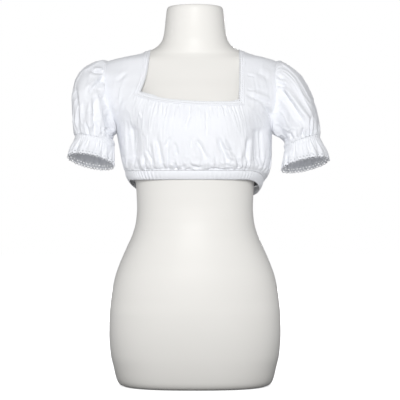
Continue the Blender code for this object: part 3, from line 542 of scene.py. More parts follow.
def ring_points(z, turn, cloth):
    """Points of the body's section at height z and angle turn."""
    sine, cosine = np.sin(turn), np.cos(turn)
    half_width, front, back, centre, power = girth(z, sine, cloth)
    x = half_width * np.sign(sine) * np.abs(sine) ** (2 / power)
    deep = np.where(cosine > 0, front, back)
    y = centre - deep * np.sign(cosine) * np.abs(cosine) ** (2 / power)
    bulge = bust(x, z, BUST_WIDE_CLOTH if cloth else BUST_WIDE_FORM) * np.clip(cosine, 0, 1)
    return np.stack([x, y - bulge, z + 0 * x], axis=-1)


def depth_at(x, z, ahead, cloth=True):
    """How deep the smooth body is at x = 0, widened by the bust, and its share at x."""
    half_width, front, back, centre, power = girth(z, x, cloth)
    wide = BUST_WIDE_CLOTH if cloth else BUST_WIDE_FORM
    across = np.clip(np.abs(x) / half_width, 0, 1)
    deep = np.where(ahead, front + bust(x, z, wide) * np.sqrt(1 - across**2), back)
    return deep, (1 - across**power) ** (1 / power)


def face_points(x, z, ahead):
    """Points of the cloth's smooth body straight ahead of or behind x and z."""
    centre = girth(z, x, True)[3]
    deep, share = depth_at(x, z, ahead)
    return np.stack([x, centre - (1 if ahead else -1) * deep * share, z + 0 * x], axis=-1)


def level(points, cloth=True):
    """Under 1 inside the smooth body, over 1 outside."""
    x, y, z = points[..., 0], points[..., 1], points[..., 2]
    half_width, front, back, centre, power = girth(z, x, cloth)
    deep, _ = depth_at(x, z, y < centre, cloth)
    return (np.abs(x) / half_width) ** power + (np.abs(y - centre) / deep) ** power


def cast(anchor, ray):
    """Where rays from anchors inside the cloth's smooth body leave it."""
    near, far = np.zeros(ray.shape[:-1]), np.full(ray.shape[:-1], 2.5)
    for _ in range(26):
        middle = (near + far) / 2
        inside = level(anchor + ray * middle[..., None]) < 1
        near, far = np.where(inside, middle, near), np.where(inside, far, middle)
    return anchor + ray * near[..., None]


def onto_body(points):
    """Moves points to the cloth's smooth body, level at the chest and upward at the shoulders."""
    x, z = points[..., 0], points[..., 2]
    high = smoothstep(*CHEST_TO_SHOULDER, z)
    centre = girth(z, x, True)[3]
    drop = 0.85 * high * (z - CHEST_TO_SHOULDER[0])
    anchor = np.stack([0.88 * high * x, centre, z - drop], axis=-1)
    return cast(anchor, points - anchor)


def body_normals(points, step=0.0005):
    """Outward normals of the cloth's smooth body."""
    slopes = [level(points + step * axis) - level(points - step * axis) for axis in np.eye(3)]
    normals = np.stack(slopes, axis=-1)
    return unit(normals)


def kept_clear(points):
    """Moves out any point that would come nearer the form than the cloth's own thickness."""
    x, y, z = points[..., 0], points[..., 1], points[..., 2]
    _, _, _, centre, power = girth(z, x, False)
    ratio = level(points, False) ** (1 / power)
    radius = np.hypot(x, y - centre)
    wanted = 1 + CLEAR_OF_FORM / np.maximum(radius, 0.02)
    push = np.where((ratio < wanted) & (z < CLEAR_BELOW), wanted / np.maximum(ratio, 0.2), 1)
    return np.stack([x * push, centre + (y - centre) * push, z], axis=-1)


def armhole(side, roll):
    """The armhole's ring on the body."""
    z = ARMHOLE_Z + ARMHOLE_HALF_HEIGHT * np.cos(roll)
    half_width, front, back, centre, power = girth(z, side.out, True)
    reach = ARMHOLE_HALF_DEPTH * np.sin(roll)
    deep = np.where(reach > 0, front, back)
    x = half_width * (1 - (np.abs(reach) / deep) ** power) ** (1 / power)
    return np.stack([side.out * x, centre - reach, z], axis=-1)


def between(start, end, shares):
    """Points on the straight line from start to end."""
    shares = np.asarray(shares)[..., None]
    return start * (1 - shares) + end * shares


def outer_guide(side, panel):
    """The panel's outer edge on one side: up the side seam, then round the armhole."""
    hem = ring_points(hem_z(side.seam_turn) + CASING_HEIGHT + SEAM_GAP, side.seam_turn, True)
    underarm = armhole(side, np.array(math.pi))
    seam = onto_body(between(hem, underarm, np.linspace(0, 1, panel.underarm_row + 1)))
    way = 1 if panel.front else -1
    rolls = np.linspace(math.pi, 0, panel.rows - panel.underarm_row + 1)[1:]
    guide = np.concatenate([seam, armhole(side, way * rolls)])
    off_seam = np.concatenate([np.zeros(panel.underarm_row + 1), np.sin(rolls)])
    guide[:, 1] -= way * SEAM_GAP / 2 * (1 - smoothstep(0, 0.3, off_seam))
    return guide


def shoulder_z(x):
    """Height of the shoulder's ridge at a distance from the centre line."""
    low, high = SHOULDER_HEIGHTS
    for _ in range(40):
        middle = (low + high) / 2
        if girth(middle, x, True)[0] > abs(x):
            low = middle
        else:
            high = middle
    return low


def strap_guide(side, panel, corner):
    """The strap's neck edge, from the neckline's corner to the top of the shoulder."""
    way = 1 if panel.front else -1
    top_z = shoulder_z(side.shoulder_x)
    centre = girth(top_z, 0, True)[3]
    t = np.linspace(0, 1, panel.rows - panel.neck_row + 1)
    start = math.atan2(corner[2] - STRAP_ANCHOR_Z, way * (centre - corner[1]))
    angle = start + (math.pi / 2 - start) * t
    x = side.shoulder_x + (corner[0] - side.shoulder_x) * (1 - t) ** 3
    anchor = np.stack([x, centre + 0 * x, STRAP_ANCHOR_Z + 0 * x], axis=-1)
    ray = np.stack([0 * x, -way * np.cos(angle), np.sin(angle)], axis=-1)
    guide = cast(anchor, 0.1 * ray)
    guide[0] = corner
    guide[-1] = [side.shoulder_x, centre - way * SEAM_GAP / 2, top_z]
    return guide


def panel_grid(panel):
    """Smooth points of a panel by row and column. Above neck_row only the strap columns count."""
    count = 2 * panel.strap_columns + panel.middle_columns
    first, last = neck_columns(panel)
    way = 1 if panel.front else -1
    grid = np.zeros((panel.rows + 1, count + 1, 3))
    middle_turns = np.radians(np.linspace(*panel.hem_turns, panel.middle_columns + 1))
    right_seam = RIGHT.seam_turn if panel.front else -math.pi - RIGHT.seam_turn
    left_seam = LEFT.seam_turn if panel.front else math.pi - LEFT.seam_turn
    turns = np.concatenate(
        [
            np.linspace(right_seam, middle_turns[0], first + 1)[:-1],
            middle_turns,
            np.linspace(middle_turns[-1], left_seam, first + 1)[1:],
        ]
    )
    if not panel.front:
        turns = (2 * math.pi - turns) % (2 * math.pi) - math.pi
    bottom = ring_points(hem_z(turns) + CASING_HEIGHT + SEAM_GAP, turns, True)
    x = np.linspace(panel.neck[0].x, panel.neck[-1].x, panel.middle_columns + 1)
    top = face_points(x, through(panel.neck, "z", x), panel.front)
    middle_bottom = bottom[first : last + 1]
    heights = np.linspace(0, 1, panel.neck_row + 1)[:, None] ** 1.25
    grid[: panel.neck_row + 1, first : last + 1] = onto_body(between(middle_bottom, top, heights))
    grid[0, first : last + 1] = middle_bottom
    for side, edge, corner in ((RIGHT, 0, first), (LEFT, count, last)):
        outer = outer_guide(side, panel)
        strap = strap_guide(side, panel, grid[panel.neck_row, corner])
        grid[panel.neck_row + 1 :, corner] = strap[1:]
        shares = np.linspace(0, 1, panel.strap_columns + 1)
        columns = np.linspace(edge, corner, panel.strap_columns + 1).astype(int)
        sag = bottom[columns] - between(outer[0], grid[0, corner], shares)
        keep = np.clip(1 - np.arange(panel.rows + 1) / panel.underarm_row, 0, 1)
        inner = grid[:, corner]
        straight = between(outer[:, None], inner[:, None], shares[None, :])
        laid = onto_body(straight + sag[None] * keep[:, None, None])
        laid[:, 0], laid[:, -1] = outer, inner
        top_row = laid[-1]
        top_row[:, 1] = girth(top_row[:, 2], top_row[:, 0], True)[3] - way * SEAM_GAP / 2
        grid[:, columns] = laid
    return grid


def uneven(share, count, drift):
    """Waves that differ in spacing and height, for gathers round or across a piece."""
    turns = 2 * math.pi * share
    phase = 0.9 * np.sin(3 * turns + drift) + 0.7 * np.sin(7 * turns + 2.3 * drift)
    height = 0.62 + 0.25 * np.sin(5 * turns + 1.7 * drift) + 0.13 * np.sin(11 * turns + drift)
    return np.cos(count * turns + phase) * height


def soft_noise(u, v, across, up, seed):
    """Smooth uneven values from -1 to 1, with a number of cells each way. It closes in u."""
    table = np.random.default_rng(seed).uniform(-1, 1, (up + 2, across))
    x, y = (u % 1) * across, np.clip(v, 0, 1) * up
    i, j = np.floor(x).astype(int), np.floor(y).astype(int)
    s, t = smoothstep(0, 1, x - i), smoothstep(0, 1, y - j)
    i, n = i % across, (i + 1) % across
    return (table[j, i] * (1 - s) + table[j, n] * s) * (1 - t) + (
        table[j + 1, i] * (1 - s) + table[j + 1, n] * s
    ) * t


def wrinkles(u, v, across, up, seed):
    """Narrow uneven ridges that wander along lines, from about -0.4 to 0.6."""
    ridge = 1 - np.abs(soft_noise(u, v, across, up, seed))
    return ridge**4 - 0.4


def curve_points(crease, steps=9):
    """Points of a smooth curve through a crease's three points."""
    t = np.linspace(0, 1, steps)[:, None]
    ends = np.array([[crease.x1, crease.z1], [crease.x2, crease.z2], [crease.x3, crease.z3]])
    pull = 2 * ends[1] - (ends[0] + ends[2]) / 2
    return MM * ((1 - t) ** 2 * ends[0] + 2 * t * (1 - t) * pull + t**2 * ends[2])


def off_line(points, line):
    """Distance from each point to a polyline, and the share of its length at the nearest place."""
    best = np.full(points.shape[:-1], 1e9)
    place = np.zeros(points.shape[:-1])
    for k in range(len(line) - 1):
        along = line[k + 1] - line[k]
        reach = points - line[k]
        t = np.clip((reach @ along) / (along @ along), 0, 1)
        away = np.linalg.norm(reach - t[..., None] * along, axis=-1)
        nearer = away < best
        best = np.where(nearer, away, best)
        place = np.where(nearer, (k + t) / (len(line) - 1), place)
    return best, place


def crease_profile(away, place, crease):
    """Height of the cloth beside a crease: a soft trough with a low shoulder on each side."""
    width = crease.width * MM
    ends = smoothstep(0, 0.22, place) * (1 - smoothstep(0.78, 1, place))
    ends = 0.15 + 0.85 * ends
    middle = np.exp(-((away / width) ** 2))
    shoulder = 0.32 * np.exp(-(((away - 2.1 * width) / width) ** 2))
    return crease.depth * MM * ends * (shoulder - middle)


def beside(points, line, crease):
    """Which points lie near enough to a crease's line to be moved by it."""
    reach = 5 * crease.width * MM
    low, high = line.min(axis=0) - reach, line.max(axis=0) + reach
    return ((points > low) & (points < high)).all(axis=-1)


def body_creases(points, creases, ahead):
    """Height of the creases at each point of a panel."""
    height = np.zeros(points.shape[:-1])
    for crease in creases:
        flat = curve_points(crease)
        line = face_points(flat[:, 0], flat[:, 1], ahead)
        near = beside(points, line, crease)
        away, place = off_line(points[near], line)
        height[near] += crease_profile(away, place, crease)
    return height


def sleeve_creases(points, normals, side, creases, way):
    """Height of a sleeve's creases, on the side that faces forward or back."""
    flat = np.stack([side.out * points[..., 0], points[..., 2]], axis=-1)
    facing = smoothstep(0.02, 0.35, -way * normals[..., 1])
    height = np.zeros(points.shape[:-1])
    for crease in creases:
        line = curve_points(crease)
        near = beside(flat, line, crease) & (facing > 0)
        away, place = off_line(flat[near], line)
        height[near] += crease_profile(away, place, crease) * facing[near]
    return height


def side_fade(columns, part):
    """1 across a panel, and 0 at its side seams, over a part of its width."""
    share = np.linspace(0, 1, columns)[None, :]
    return smoothstep(0, part, share) * (1 - smoothstep(1 - part, 1, share))


def blousing(above, x, sides):
    """How far the cloth bags out over the casing."""
    out = BLOUSING * smoothstep(0, BLOUSING_RISE, above)
    out *= np.exp(-((np.clip(above - BLOUSING_RISE, 0, None) / BLOUSING_FADE) ** 2))
    out *= sides + (1 - sides) * (1 - smoothstep(*BLOUSING_SEAM_HEIGHTS, above))
    return out * smoothstep(*BLOUSING_RIGHT_END, x)


def hem_gathers(panel, share, above):
    """Gathers that rise from the casing, each to its own height."""
    length = HEM_GATHER_LENGTH * (0.6 + 0.8 * np.sin(31 * share + 2.0) ** 2)
    grown = HEM_GATHER * (0.35 + 0.65 * smoothstep(0, HEM_GATHER_START, above))
    grown = grown * np.exp(-((np.clip(above - HEM_GATHER_START, 0, None) / length) ** 2))
    return uneven(share, panel.gathers, 0.8) * grown


def panel_wrinkles(panel, share, above, z):
    """Fine wrinkles: upright streaks, crumples over the casing, and a few on the straps."""
    height = np.clip(above / PANEL_HEIGHT, 0, 1)
    share = share + 0 * height
    low = np.exp(-((above / CRUMPLE_HEIGHT) ** 2))
    chest = 1 - smoothstep(*CHEST_TO_SHOULDER, z)
    streaks = STREAK * wrinkles(share, height, 60, 3, 11 + panel.front)
    streaks = streaks + 0.5 * STREAK * wrinkles(share, height, 110, 5, 21 + panel.front)
    streaks = streaks * (0.35 + 0.65 * smoothstep(-0.6, 0.6, soft_noise(share, height, 9, 2, 31)))
    crumple = CRUMPLE * wrinkles(share, height, 70, 14, 41 + panel.front) * low
    strap = 0.35 * STREAK * wrinkles(share, height, 26, 9, 51) * (1 - chest)
    return streaks * chest * (1 - 0.45 * low) + crumple + strap


def panel_folds(panel, grid):
    """How far each point of a panel stands out from its smooth place."""
    rows, columns = grid.shape[:2]
    x, z = grid[..., 0], grid[..., 2]
    share = np.linspace(0, 1, columns)[None, :]
    above = z - grid[0, :, 2][None, :]
    sides = side_fade(columns, SEAM_FADE)
    out = blousing(above, x, sides) + hem_gathers(panel, share, above) * sides
    below = through(panel.neck, "z", x) - z
    first, last = neck_columns(panel)
    inner = np.zeros(columns)
    inner[first : last + 1] = 1
    across = np.convolve(np.pad(inner, 12, mode="edge"), np.ones(25) / 25, "valid")[None, :]
    fine = uneven(share, 2 * panel.gathers, 2.1)
    faded = np.exp(-((below / NECK_GATHER_LENGTH) ** 2)) * smoothstep(0, 0.003, below)
    out = out + NECK_GATHER * fine * faded * across
    creases = FRONT_CREASES if panel.front else BACK_CREASES
    fade = np.ones((rows, columns))
    fade[panel.neck_row :, first : last + 1] = 0
    at_neck = smoothstep(0, 0.004, below) * across + (1 - across)
    flank = smoothstep(*FLANK, np.abs(x))
    deeper = CREASE_DEPTH + (FLANK_CREASE_DEPTH - CREASE_DEPTH) * flank
    out = out + deeper * body_creases(grid, creases, panel.front) * sides * fade * at_neck
    out = out + panel_wrinkles(panel, share, above, z) * sides * fade * at_neck
    edges = smoothstep(0, 4, np.arange(rows))[:, None] * 0.85 + 0.15
    return out * edges


def flank_fall(grid):
    """How far the front falls back below the bust at both flanks."""
    above = grid[..., 2] - grid[0, :, 2][None, :]
    tall = smoothstep(*FLANK_FOOT, above) * (1 - smoothstep(*FLANK_TOP, grid[..., 2]))
    sides = side_fade(grid.shape[1], 0.03)
    return FLANK_FALL * smoothstep(*FLANK, np.abs(grid[..., 0])) * tall * sides


def cloth_object(name, grid, used, closed, outward, paint, thickness=CLOTH):
    """A cloth surface through a grid of points, with a thin wall inwards. used picks its cells."""
    rows, columns = grid.shape[:2]
    across = columns if closed else columns - 1
    row, column = np.meshgrid(np.arange(rows - 1), np.arange(across), indexing="ij")
    keep = np.ones(row.shape, bool) if used is None else used(row, column)
    row, column = row[keep], column[keep]
    following = (column + 1) % columns
    corners = [(row, column), (row, following), (row + 1, following), (row + 1, column)]
    faces = np.stack([r * columns + c for r, c in corners], axis=-1)
    widths = np.linalg.norm(np.roll(grid, -1, axis=1) - grid, axis=-1).mean(axis=0)
    u = np.concatenate([[0], np.cumsum(widths)])
    v = np.concatenate([[0], np.cumsum(np.linalg.norm(np.diff(grid, axis=0), axis=-1).mean(axis=1))])
    flat = np.stack(
        [
            np.stack([u[column], u[column + 1], u[column + 1], u[column]], axis=-1),
            np.stack([v[row], v[row], v[row + 1], v[row + 1]], axis=-1),
        ],
        axis=-1,
    )
    points = grid.reshape(-1, 3)
    a, b, c, d = (points[faces[:, k]] for k in range(4))
    normals = np.cross(c - a, d - b)
    if (outward((a + c) / 2) * normals).sum() < 0:
        faces, flat = faces[:, ::-1], flat[:, ::-1]
    kept, faces = np.unique(faces, return_inverse=True)
    return mesh_object(name, points[kept], faces.reshape(-1, 4), flat, paint, thickness)


def mesh_object(name, points, faces, flat, paint, thickness=None):
    """An object from points and faces of one size, with its flat coordinates in metres."""
    mesh = bpy.data.meshes.new(name)
    mesh.from_pydata(points.tolist(), [], faces.tolist())
    if flat is not None:
        layer = mesh.uv_layers.new(name="cloth")
        layer.data.foreach_set("uv", flat.reshape(-1).astype(np.float32))
    mesh.materials.append(paint)
    mesh.shade_smooth()
    made = bpy.data.objects.new(name, mesh)
    bpy.context.scene.collection.objects.link(made)
    if thickness:
        wall = made.modifiers.new("wall", "SOLIDIFY")
        wall.thickness = thickness
        wall.offset = -1
        wall.use_quality_normals = True
    return made


def from_axis(x, y):
    """A function that gives each face centre's direction away from an upright axis."""
    return lambda centres: (centres - np.array([x, y, 0])) * [1, 1, 0]


def away_from(point):
    """A function that gives each face centre's direction away from a point."""
    return lambda centres: centres - np.array(point)


def make_panel(panel, paint):
    """The front or the back, with its gathers and creases. Returns its grid."""
    grid = panel_grid(panel)
    normals = body_normals(grid)
    shaped = grid + normals * panel_folds(panel, grid)[..., None]
    if panel.front:
        shaped[..., 1] += flank_fall(grid)
    shaped = kept_clear(shaped)
    first, last = neck_columns(panel)

    def used(row, column):
        return (row < panel.neck_row) | (column < first) | (column >= last)

    shaped[panel.neck_row + 1 :, first + 1 : last] = shaped[panel.neck_row, first + 1 : last]
    cloth_object(panel.name + "_cloth", shaped, used, False, from_axis(0, 0.012), paint)
    return shaped


def make_casing(paint):
    """The hem's elastic casing, a soft rolled band with shirring in places. Returns its grid."""
    turns = np.linspace(-math.pi, math.pi, CASING_COLUMNS, endpoint=False)
    share = (turns + math.pi) / (2 * math.pi)
    wave = uneven(share, CASING_GATHERS, 1.3)
    rows = []
    for height in np.linspace(0, 1, CASING_ROWS):
        z = hem_z(turns) + CASING_HEIGHT * height
        ring = ring_points(z, turns, True)
        x = ring[:, 0]
        dense = smoothstep(*CASING_SHIRRED_FROM, x) * (1 - smoothstep(*CASING_SHIRRED_TO, x))
        behind = smoothstep(0.0, 0.03, ring[:, 1])
        strength = 0.30 + 0.95 * dense * (1 - behind) + 0.35 * behind
        strength = strength + 0.45 * np.clip(np.sin(9 * turns + 0.7), 0, 1)
        swell = CASING_ROLL * math.sin(math.pi * height) ** 0.7
        edge = 0.35 + 0.65 * math.sin(math.pi * height)
        lean = uneven(share + 0.0006 * height, CASING_GATHERS, 1.3 + 0.5 * height)
        out = swell + CASING_GATHER * strength * edge * (0.6 * wave + 0.4 * lean)
        out = out - CASING_TILT * (1 - height)
        rows.append(ring + body_normals(ring) * out[:, None])
    rows = kept_clear(np.array(rows))
    cloth_object("casing_cloth", rows, None, True, from_axis(0, 0), paint)
    return rows


def neck_legs(front, back):
    """The neckline's four edges between its corners, from the shaped panels, in order round it."""
    first, last = neck_columns(FRONT)
    back_first, back_last = neck_columns(BACK)
    across_front = front[FRONT.neck_row, first : last + 1]
    across_back = back[BACK.neck_row, back_first : back_last + 1][::-1]
    straps = []
    for column, back_column in ((last, back_last), (first, back_first)):
        rising = front[FRONT.neck_row : FRONT.rows, column]
        falling = back[BACK.neck_row : BACK.rows, back_column][::-1]
        ridge = (front[FRONT.rows, column] + back[BACK.rows, back_column]) / 2
        straps.append(np.concatenate([rising, ridge[None], falling]))
    return [across_front, straps[0], across_back, straps[1][::-1]]


def eased(leg, window=5):
    """A leg with its small steps smoothed and its ends kept."""
    padded = np.concatenate([leg[:1]] * (window // 2) + [leg] + [leg[-1:]] * (window // 2))
    kernel = np.ones(window) / window
    smooth = np.stack([np.convolve(padded[:, k], kernel, "valid") for k in range(3)], axis=-1)
    smooth[0], smooth[-1] = leg[0], leg[-1]
    return smooth


def trim_ring(legs, away, lift):
    """A ring beside the neckline, with mitred corners: away from its edge, and lifted off it."""
    rings = []
    for k, leg in enumerate(legs):
        before, after = legs[k - 1], legs[(k + 1) % len(legs)]
        lengths = measured_along(leg)
        opening = (
            (unit(leg[4] - leg[0]) @ unit(before[-5] - before[-1])),
            (unit(leg[-5] - leg[-1]) @ unit(after[4] - after[0])),
        )
        short = [away * math.sqrt((1 + cosine) / (1 - cosine)) for cosine in opening]
        places = short[0] + lengths / lengths[-1] * (lengths[-1] - short[0] - short[1])
        edge = np.stack([np.interp(places, lengths, leg[:, axis]) for axis in range(3)], axis=-1)
        inward = unit(np.cross(body_normals(onto_body(edge)), np.gradient(edge, axis=0)))
        middle = len(edge) // 2
        towards_neck = np.array(NECK_MIDDLE) - edge[middle]
        inward *= np.sign(inward[middle] @ towards_neck)
        ring = onto_body(edge + inward * away)
        rings.append((ring + body_normals(ring) * lift)[:-1])
    return np.concatenate(rings)


def surface_at(grid, u, v):
    """Points of a grid's surface at u across, closed, and v from its first row to its last."""
    rows, columns = grid.shape[:2]
    across = (u % 1) * columns
    down = np.clip(v, 0, 1) * (rows - 1)
    c = np.floor(across).astype(int) % columns
    r = np.clip(np.floor(down).astype(int), 0, rows - 2)
    s, t = (across - np.floor(across))[..., None], (down - r)[..., None]
    n = (c + 1) % columns
    upper = grid[r, c] * (1 - s) + grid[r, n] * s
    lower = grid[r + 1, c] * (1 - s) + grid[r + 1, n] * s
    return upper * (1 - t) + lower * t


LaceRow = namedtuple("LaceRow", "top bottom hole_wide hole_tall shift")
HOLE_SIDES = 12


def lace_object(name, grid, motifs, lace_rows, scallop, outward, paint):
    """A lace band on a closed grid: rows of eyelets, with a scalloped lower edge."""
    square = [(0, 0), (1 / 3, 0), (2 / 3, 0), (1, 0), (1, 1 / 3), (1, 2 / 3), (1, 1)]
    square += [(2 / 3, 1), (1 / 3, 1), (0, 1), (0, 2 / 3), (0, 1 / 3)]
    square = np.array(square)
    angles = np.arctan2(square[:, 1] - 0.5, square[:, 0] - 0.5)
    points, faces, flats = [], [], []
    last_row = len(lace_rows) - 1
    for number, lace in enumerate(lace_rows):
        for k in range(motifs):
            centre_v = (lace.top + lace.bottom) / 2
            outline_u = (k + square[:, 0]) / motifs
            outline_v = lace.top + (lace.bottom - lace.top) * square[:, 1]
            if number == last_row:
                bulge = np.sin(math.pi * square[:, 0]) * (square[:, 1] == 1)
                outline_v = outline_v - scallop * (square[:, 1] == 1) + scallop * bulge
            hole_u = (k + 0.5 + 0.5 * lace.hole_wide * np.cos(angles)) / motifs
            hole_v = centre_v + 0.5 * lace.hole_tall * (lace.bottom - lace.top) * np.sin(angles)
            shift = lace.shift / motifs
            start = len(points) * 2 * HOLE_SIDES
            u = np.concatenate([outline_u, hole_u]) + shift
            v = np.concatenate([outline_v, hole_v])
            points.append(surface_at(grid, u, v))
            flat = np.stack([u, v], axis=-1) * 0.3
            for m in range(HOLE_SIDES):
                n = (m + 1) % HOLE_SIDES
                corners = [m, n, HOLE_SIDES + n, HOLE_SIDES + m]
                faces.append([start + c for c in corners])
                flats.append(flat[corners])
    points = np.concatenate(points)
    faces, flats = np.array(faces), np.array(flats)
    _, kept, index = np.unique(
        np.round(points / 1e-6).astype(np.int64), axis=0, return_index=True, return_inverse=True
    )
    points, faces = points[kept], index.reshape(-1)[faces]
    a, b, c, d = (points[faces[:, k]] for k in range(4))
    if (outward((a + c) / 2) * np.cross(c - a, d - b)).sum() < 0:
        faces, flats = faces[:, ::-1], flats[:, ::-1]
    mesh_object(name, points, faces, flats, paint, CLOTH)


def make_neck_trim(front, back, cotton, lace_paint):
    """The bound edge of the neckline and the narrow lace inside it. Returns the binding's grid."""
    legs = [eased(leg) for leg in neck_legs(front, back)]
    rows = []
    for share in np.linspace(0, 1, 8):
        lift = BINDING_SWELL * math.sin(math.pi * share)
        away = (BINDING_WIDTH + BINDING_LAP) * share - BINDING_LAP
        rows.append(trim_ring(legs, away, BINDING_LIFT * (1 - share) + lift))
    rows = np.array(rows)
    outward = away_from(CHEST_MIDDLE)
    cloth_object("binding_cloth", rows, None, True, outward, cotton)
    edge = BINDING_WIDTH - LACE_TUCK
    inner = trim_ring(legs, edge, -0.0002)
    narrow = trim_ring(legs, edge + LACE_FRONT_WIDTH, -0.0001)
    wide = trim_ring(legs, edge + LACE_SIDE_WIDTH, -0.0001)
    at_side = smoothstep(0.075, 0.095, np.abs(inner[:, :1]))
    outer = narrow + (wide - narrow) * at_side
    band = np.array([inner, (inner + outer) / 2, outer])
    lace_rows = [
        LaceRow(0.00, 0.36, 0.22, 0.26, 0.0),
        LaceRow(0.36, 1.00, 0.34, 0.34, 0.0),
    ]
    lace_object("neck_lace_edge", band, NECK_MOTIFS, lace_rows, 0.24, outward, lace_paint)
    return rows


def sleeve_ring(side, ring, roll):
    """Points of one ring of a sleeve or cuff."""
    inner = np.array([ring.inner_out, ring.inner_z])
    outer = np.array([ring.outer_out, ring.outer_z])
    middle, reach = (inner + outer) / 2, (outer - inner) / 2
    ahead = ring.half_depth * np.sin(roll)
    out = middle[0] + reach[0] * np.cos(roll)
    z = middle[1] + reach[1] * np.cos(roll) + math.tan(math.radians(ring.tilt)) * ahead
    return np.stack([side.out * out, ring.y - ahead, z], axis=-1)


def tube_normals(rings, side):
    """Outward normals of a tube of rings."""
    around = np.roll(rings, -1, axis=1) - np.roll(rings, 1, axis=1)
    along = np.gradient(rings, axis=0)
    normals = unit(np.cross(around, along))
    centres = rings.mean(axis=1, keepdims=True)
    facing = ((rings - centres) * normals).sum(axis=-1)
    return normals * (1 if facing.sum() > 0 else -1)


def spline_rings(rings, places):
    """Rings at fractional places along a tube, on a smooth curve through the given ones."""
    slopes = np.gradient(rings, axis=0)
    k = np.clip(np.floor(places).astype(int), 0, len(rings) - 2)
    t = (places - k)[:, None, None]
    return cubic(t, rings[k], rings[k + 1], slopes[k], slopes[k + 1])


def make_sleeve(side, paint):
    """The puffed sleeve, gathered at its head and into the elastic. Returns its grid."""
    rolls = np.linspace(0, 2 * math.pi, SLEEVE_SIDES, endpoint=False)
    head = armhole(side, rolls)
    head[:, 0] -= side.out * SLEEVE_TUCK
    top, bottom = head[0], head[SLEEVE_SIDES // 2]
    flat = SleeveRing(
        side.out * bottom[0], bottom[2], side.out * top[0], top[2],
        ARMHOLE_HALF_DEPTH, (top[1] + bottom[1]) / 2, 0,
    )
    bow = head - sleeve_ring(side, flat, rolls)
    rings = [head]
    for place, ring in enumerate(SLEEVE_RINGS[side.name], start=1):
        keep = max(0.0, 1 - place / HEAD_RINGS) ** 2
        rings.append(sleeve_ring(side, ring, rolls) + keep * bow)
    rings = spline_rings(np.array(rings), np.linspace(0, len(rings) - 1, SLEEVE_ROWS))
    normals = tube_normals(rings, side)
    share = np.linspace(0, 1, SLEEVE_ROWS)[:, None]
    around = (rolls / (2 * math.pi))[None, :]
    upper = smoothstep(-0.5, 0.3, np.cos(rolls))[None, :]
    pleat = uneven(around, HEAD_GATHERS, 0.4 + side.out) * HEAD_GATHER * upper
    head_fade = smoothstep(0, 0.08, share) * (1 - smoothstep(0.14, 0.40, share))
    outer_side = 0.25 + 0.75 * smoothstep(-1, 0.2, np.cos(rolls))[None, :]
    pucker = uneven(around, CUFF_GATHERS, 1.1 * side.out) * CUFF_GATHER * outer_side
    reach = 0.72 + 0.10 * np.sin(2 * math.pi * 9 * around + side.out)
    cuff_fade = smoothstep(0, 1, (share - reach) / (0.97 - reach))
    fine = uneven(around, BAND_GATHERS, 2.0) * BAND_GATHER * smoothstep(0.90, 1, share)
    out = pleat * head_fade + pucker * cuff_fade * (1 - 0.6 * smoothstep(0.97, 1, share)) + fine
    fade = smoothstep(0, 0.06, share) * (1 - 0.6 * smoothstep(0.95, 1, share))
    u, v = around + 0 * share, share + 0 * around
    broad = SLEEVE_BROAD * soft_noise(u, v, 11, 4, 61 + side.out)
    small = SLEEVE_WRINKLE * wrinkles(u + 0.02 * np.sin(9 * v), v, 34, 4, 71 + side.out)
    out = out + (broad + small) * fade
    ahead = sleeve_creases(rings, normals, side, SLEEVE_FRONT_CREASES[side.name], 1)
    behind = sleeve_creases(rings, normals, side, SLEEVE_BACK_CREASES, -1)
    out = out + SLEEVE_CREASE_DEPTH * (ahead + behind) * fade
    rings = rings + normals * out[..., None]
    outward = away_from(rings.mean(axis=(0, 1)))
    cloth_object("sleeve_" + side.name + "_cloth", rings, None, True, outward, paint)
    return rings


def make_cuff(side, cotton, lace_paint):
    """The shirred band, the ruffle and the lace below the elastic. Returns their common grid."""
    rolls = np.linspace(0, 2 * math.pi, RUFFLE_SIDES, endpoint=False)
    coarse = np.array([sleeve_ring(side, ring, rolls) for ring in CUFF_RINGS[side.name]])
    places = np.linspace(0, len(coarse) - 1, CUFF_ROWS)
    whole = spline_rings(coarse, places)
    normals = tube_normals(whole, side)
    around = (rolls / (2 * math.pi))[None, :]
    down = places[:, None]
    band = uneven(around, BAND_GATHERS, 2.0) * BAND_GATHER
    band = band * (1 - smoothstep(1.2, 2.4, down)) * (1 - 0.45 * np.exp(-(((down - 0.5) / 0.14) ** 2)))
    pinch = -0.0008 * np.exp(-(((down - 0.5) / 0.32) ** 2))
    wave = np.cos(RUFFLE_WAVES * rolls + 0.5 * np.sin(3 * rolls + side.out))[None, :]
    wave = wave * (0.75 + 0.25 * np.sin(5 * rolls + 2 * side.out))[None, :]
    flare = wave * RUFFLE_WAVE * smoothstep(0.9, 3.0, down)
    ripple = uneven(around, 2 * RUFFLE_WAVES + 5, 0.9 * side.out) * RUFFLE_GATHER
    ripple = ripple * np.exp(-(((down - 2.0) / 0.9) ** 2))
    shaped = whole + normals * (band + pinch + flare + ripple)[..., None]
    axis = shaped.mean(axis=(0, 1))
    outward = from_axis(axis[0], axis[1])
    cloth_object(
        "cuff_band_" + side.name + "_cloth",
        shaped[: RUFFLE_FIRST_ROW + 1], None, True, outward, cotton,
    )
    cloth_object(
        "cuff_ruffle_" + side.name + "_cloth",
        shaped[RUFFLE_FIRST_ROW : LACE_FIRST_ROW + 1], None, True, outward, cotton,
    )
    lace_rows = [
        LaceRow(0.00, 0.20, 0.20, 0.20, 0.0),
        LaceRow(0.20, 0.52, 0.40, 0.44, 0.5),
        LaceRow(0.52, 1.00, 0.46, 0.40, 0.0),
    ]
    name = "cuff_lace_" + side.name + "_edge"
    lace_object(name, shaped[LACE_FIRST_ROW:], CUFF_MOTIFS, lace_rows, 0.26, outward, lace_paint)
    return shaped


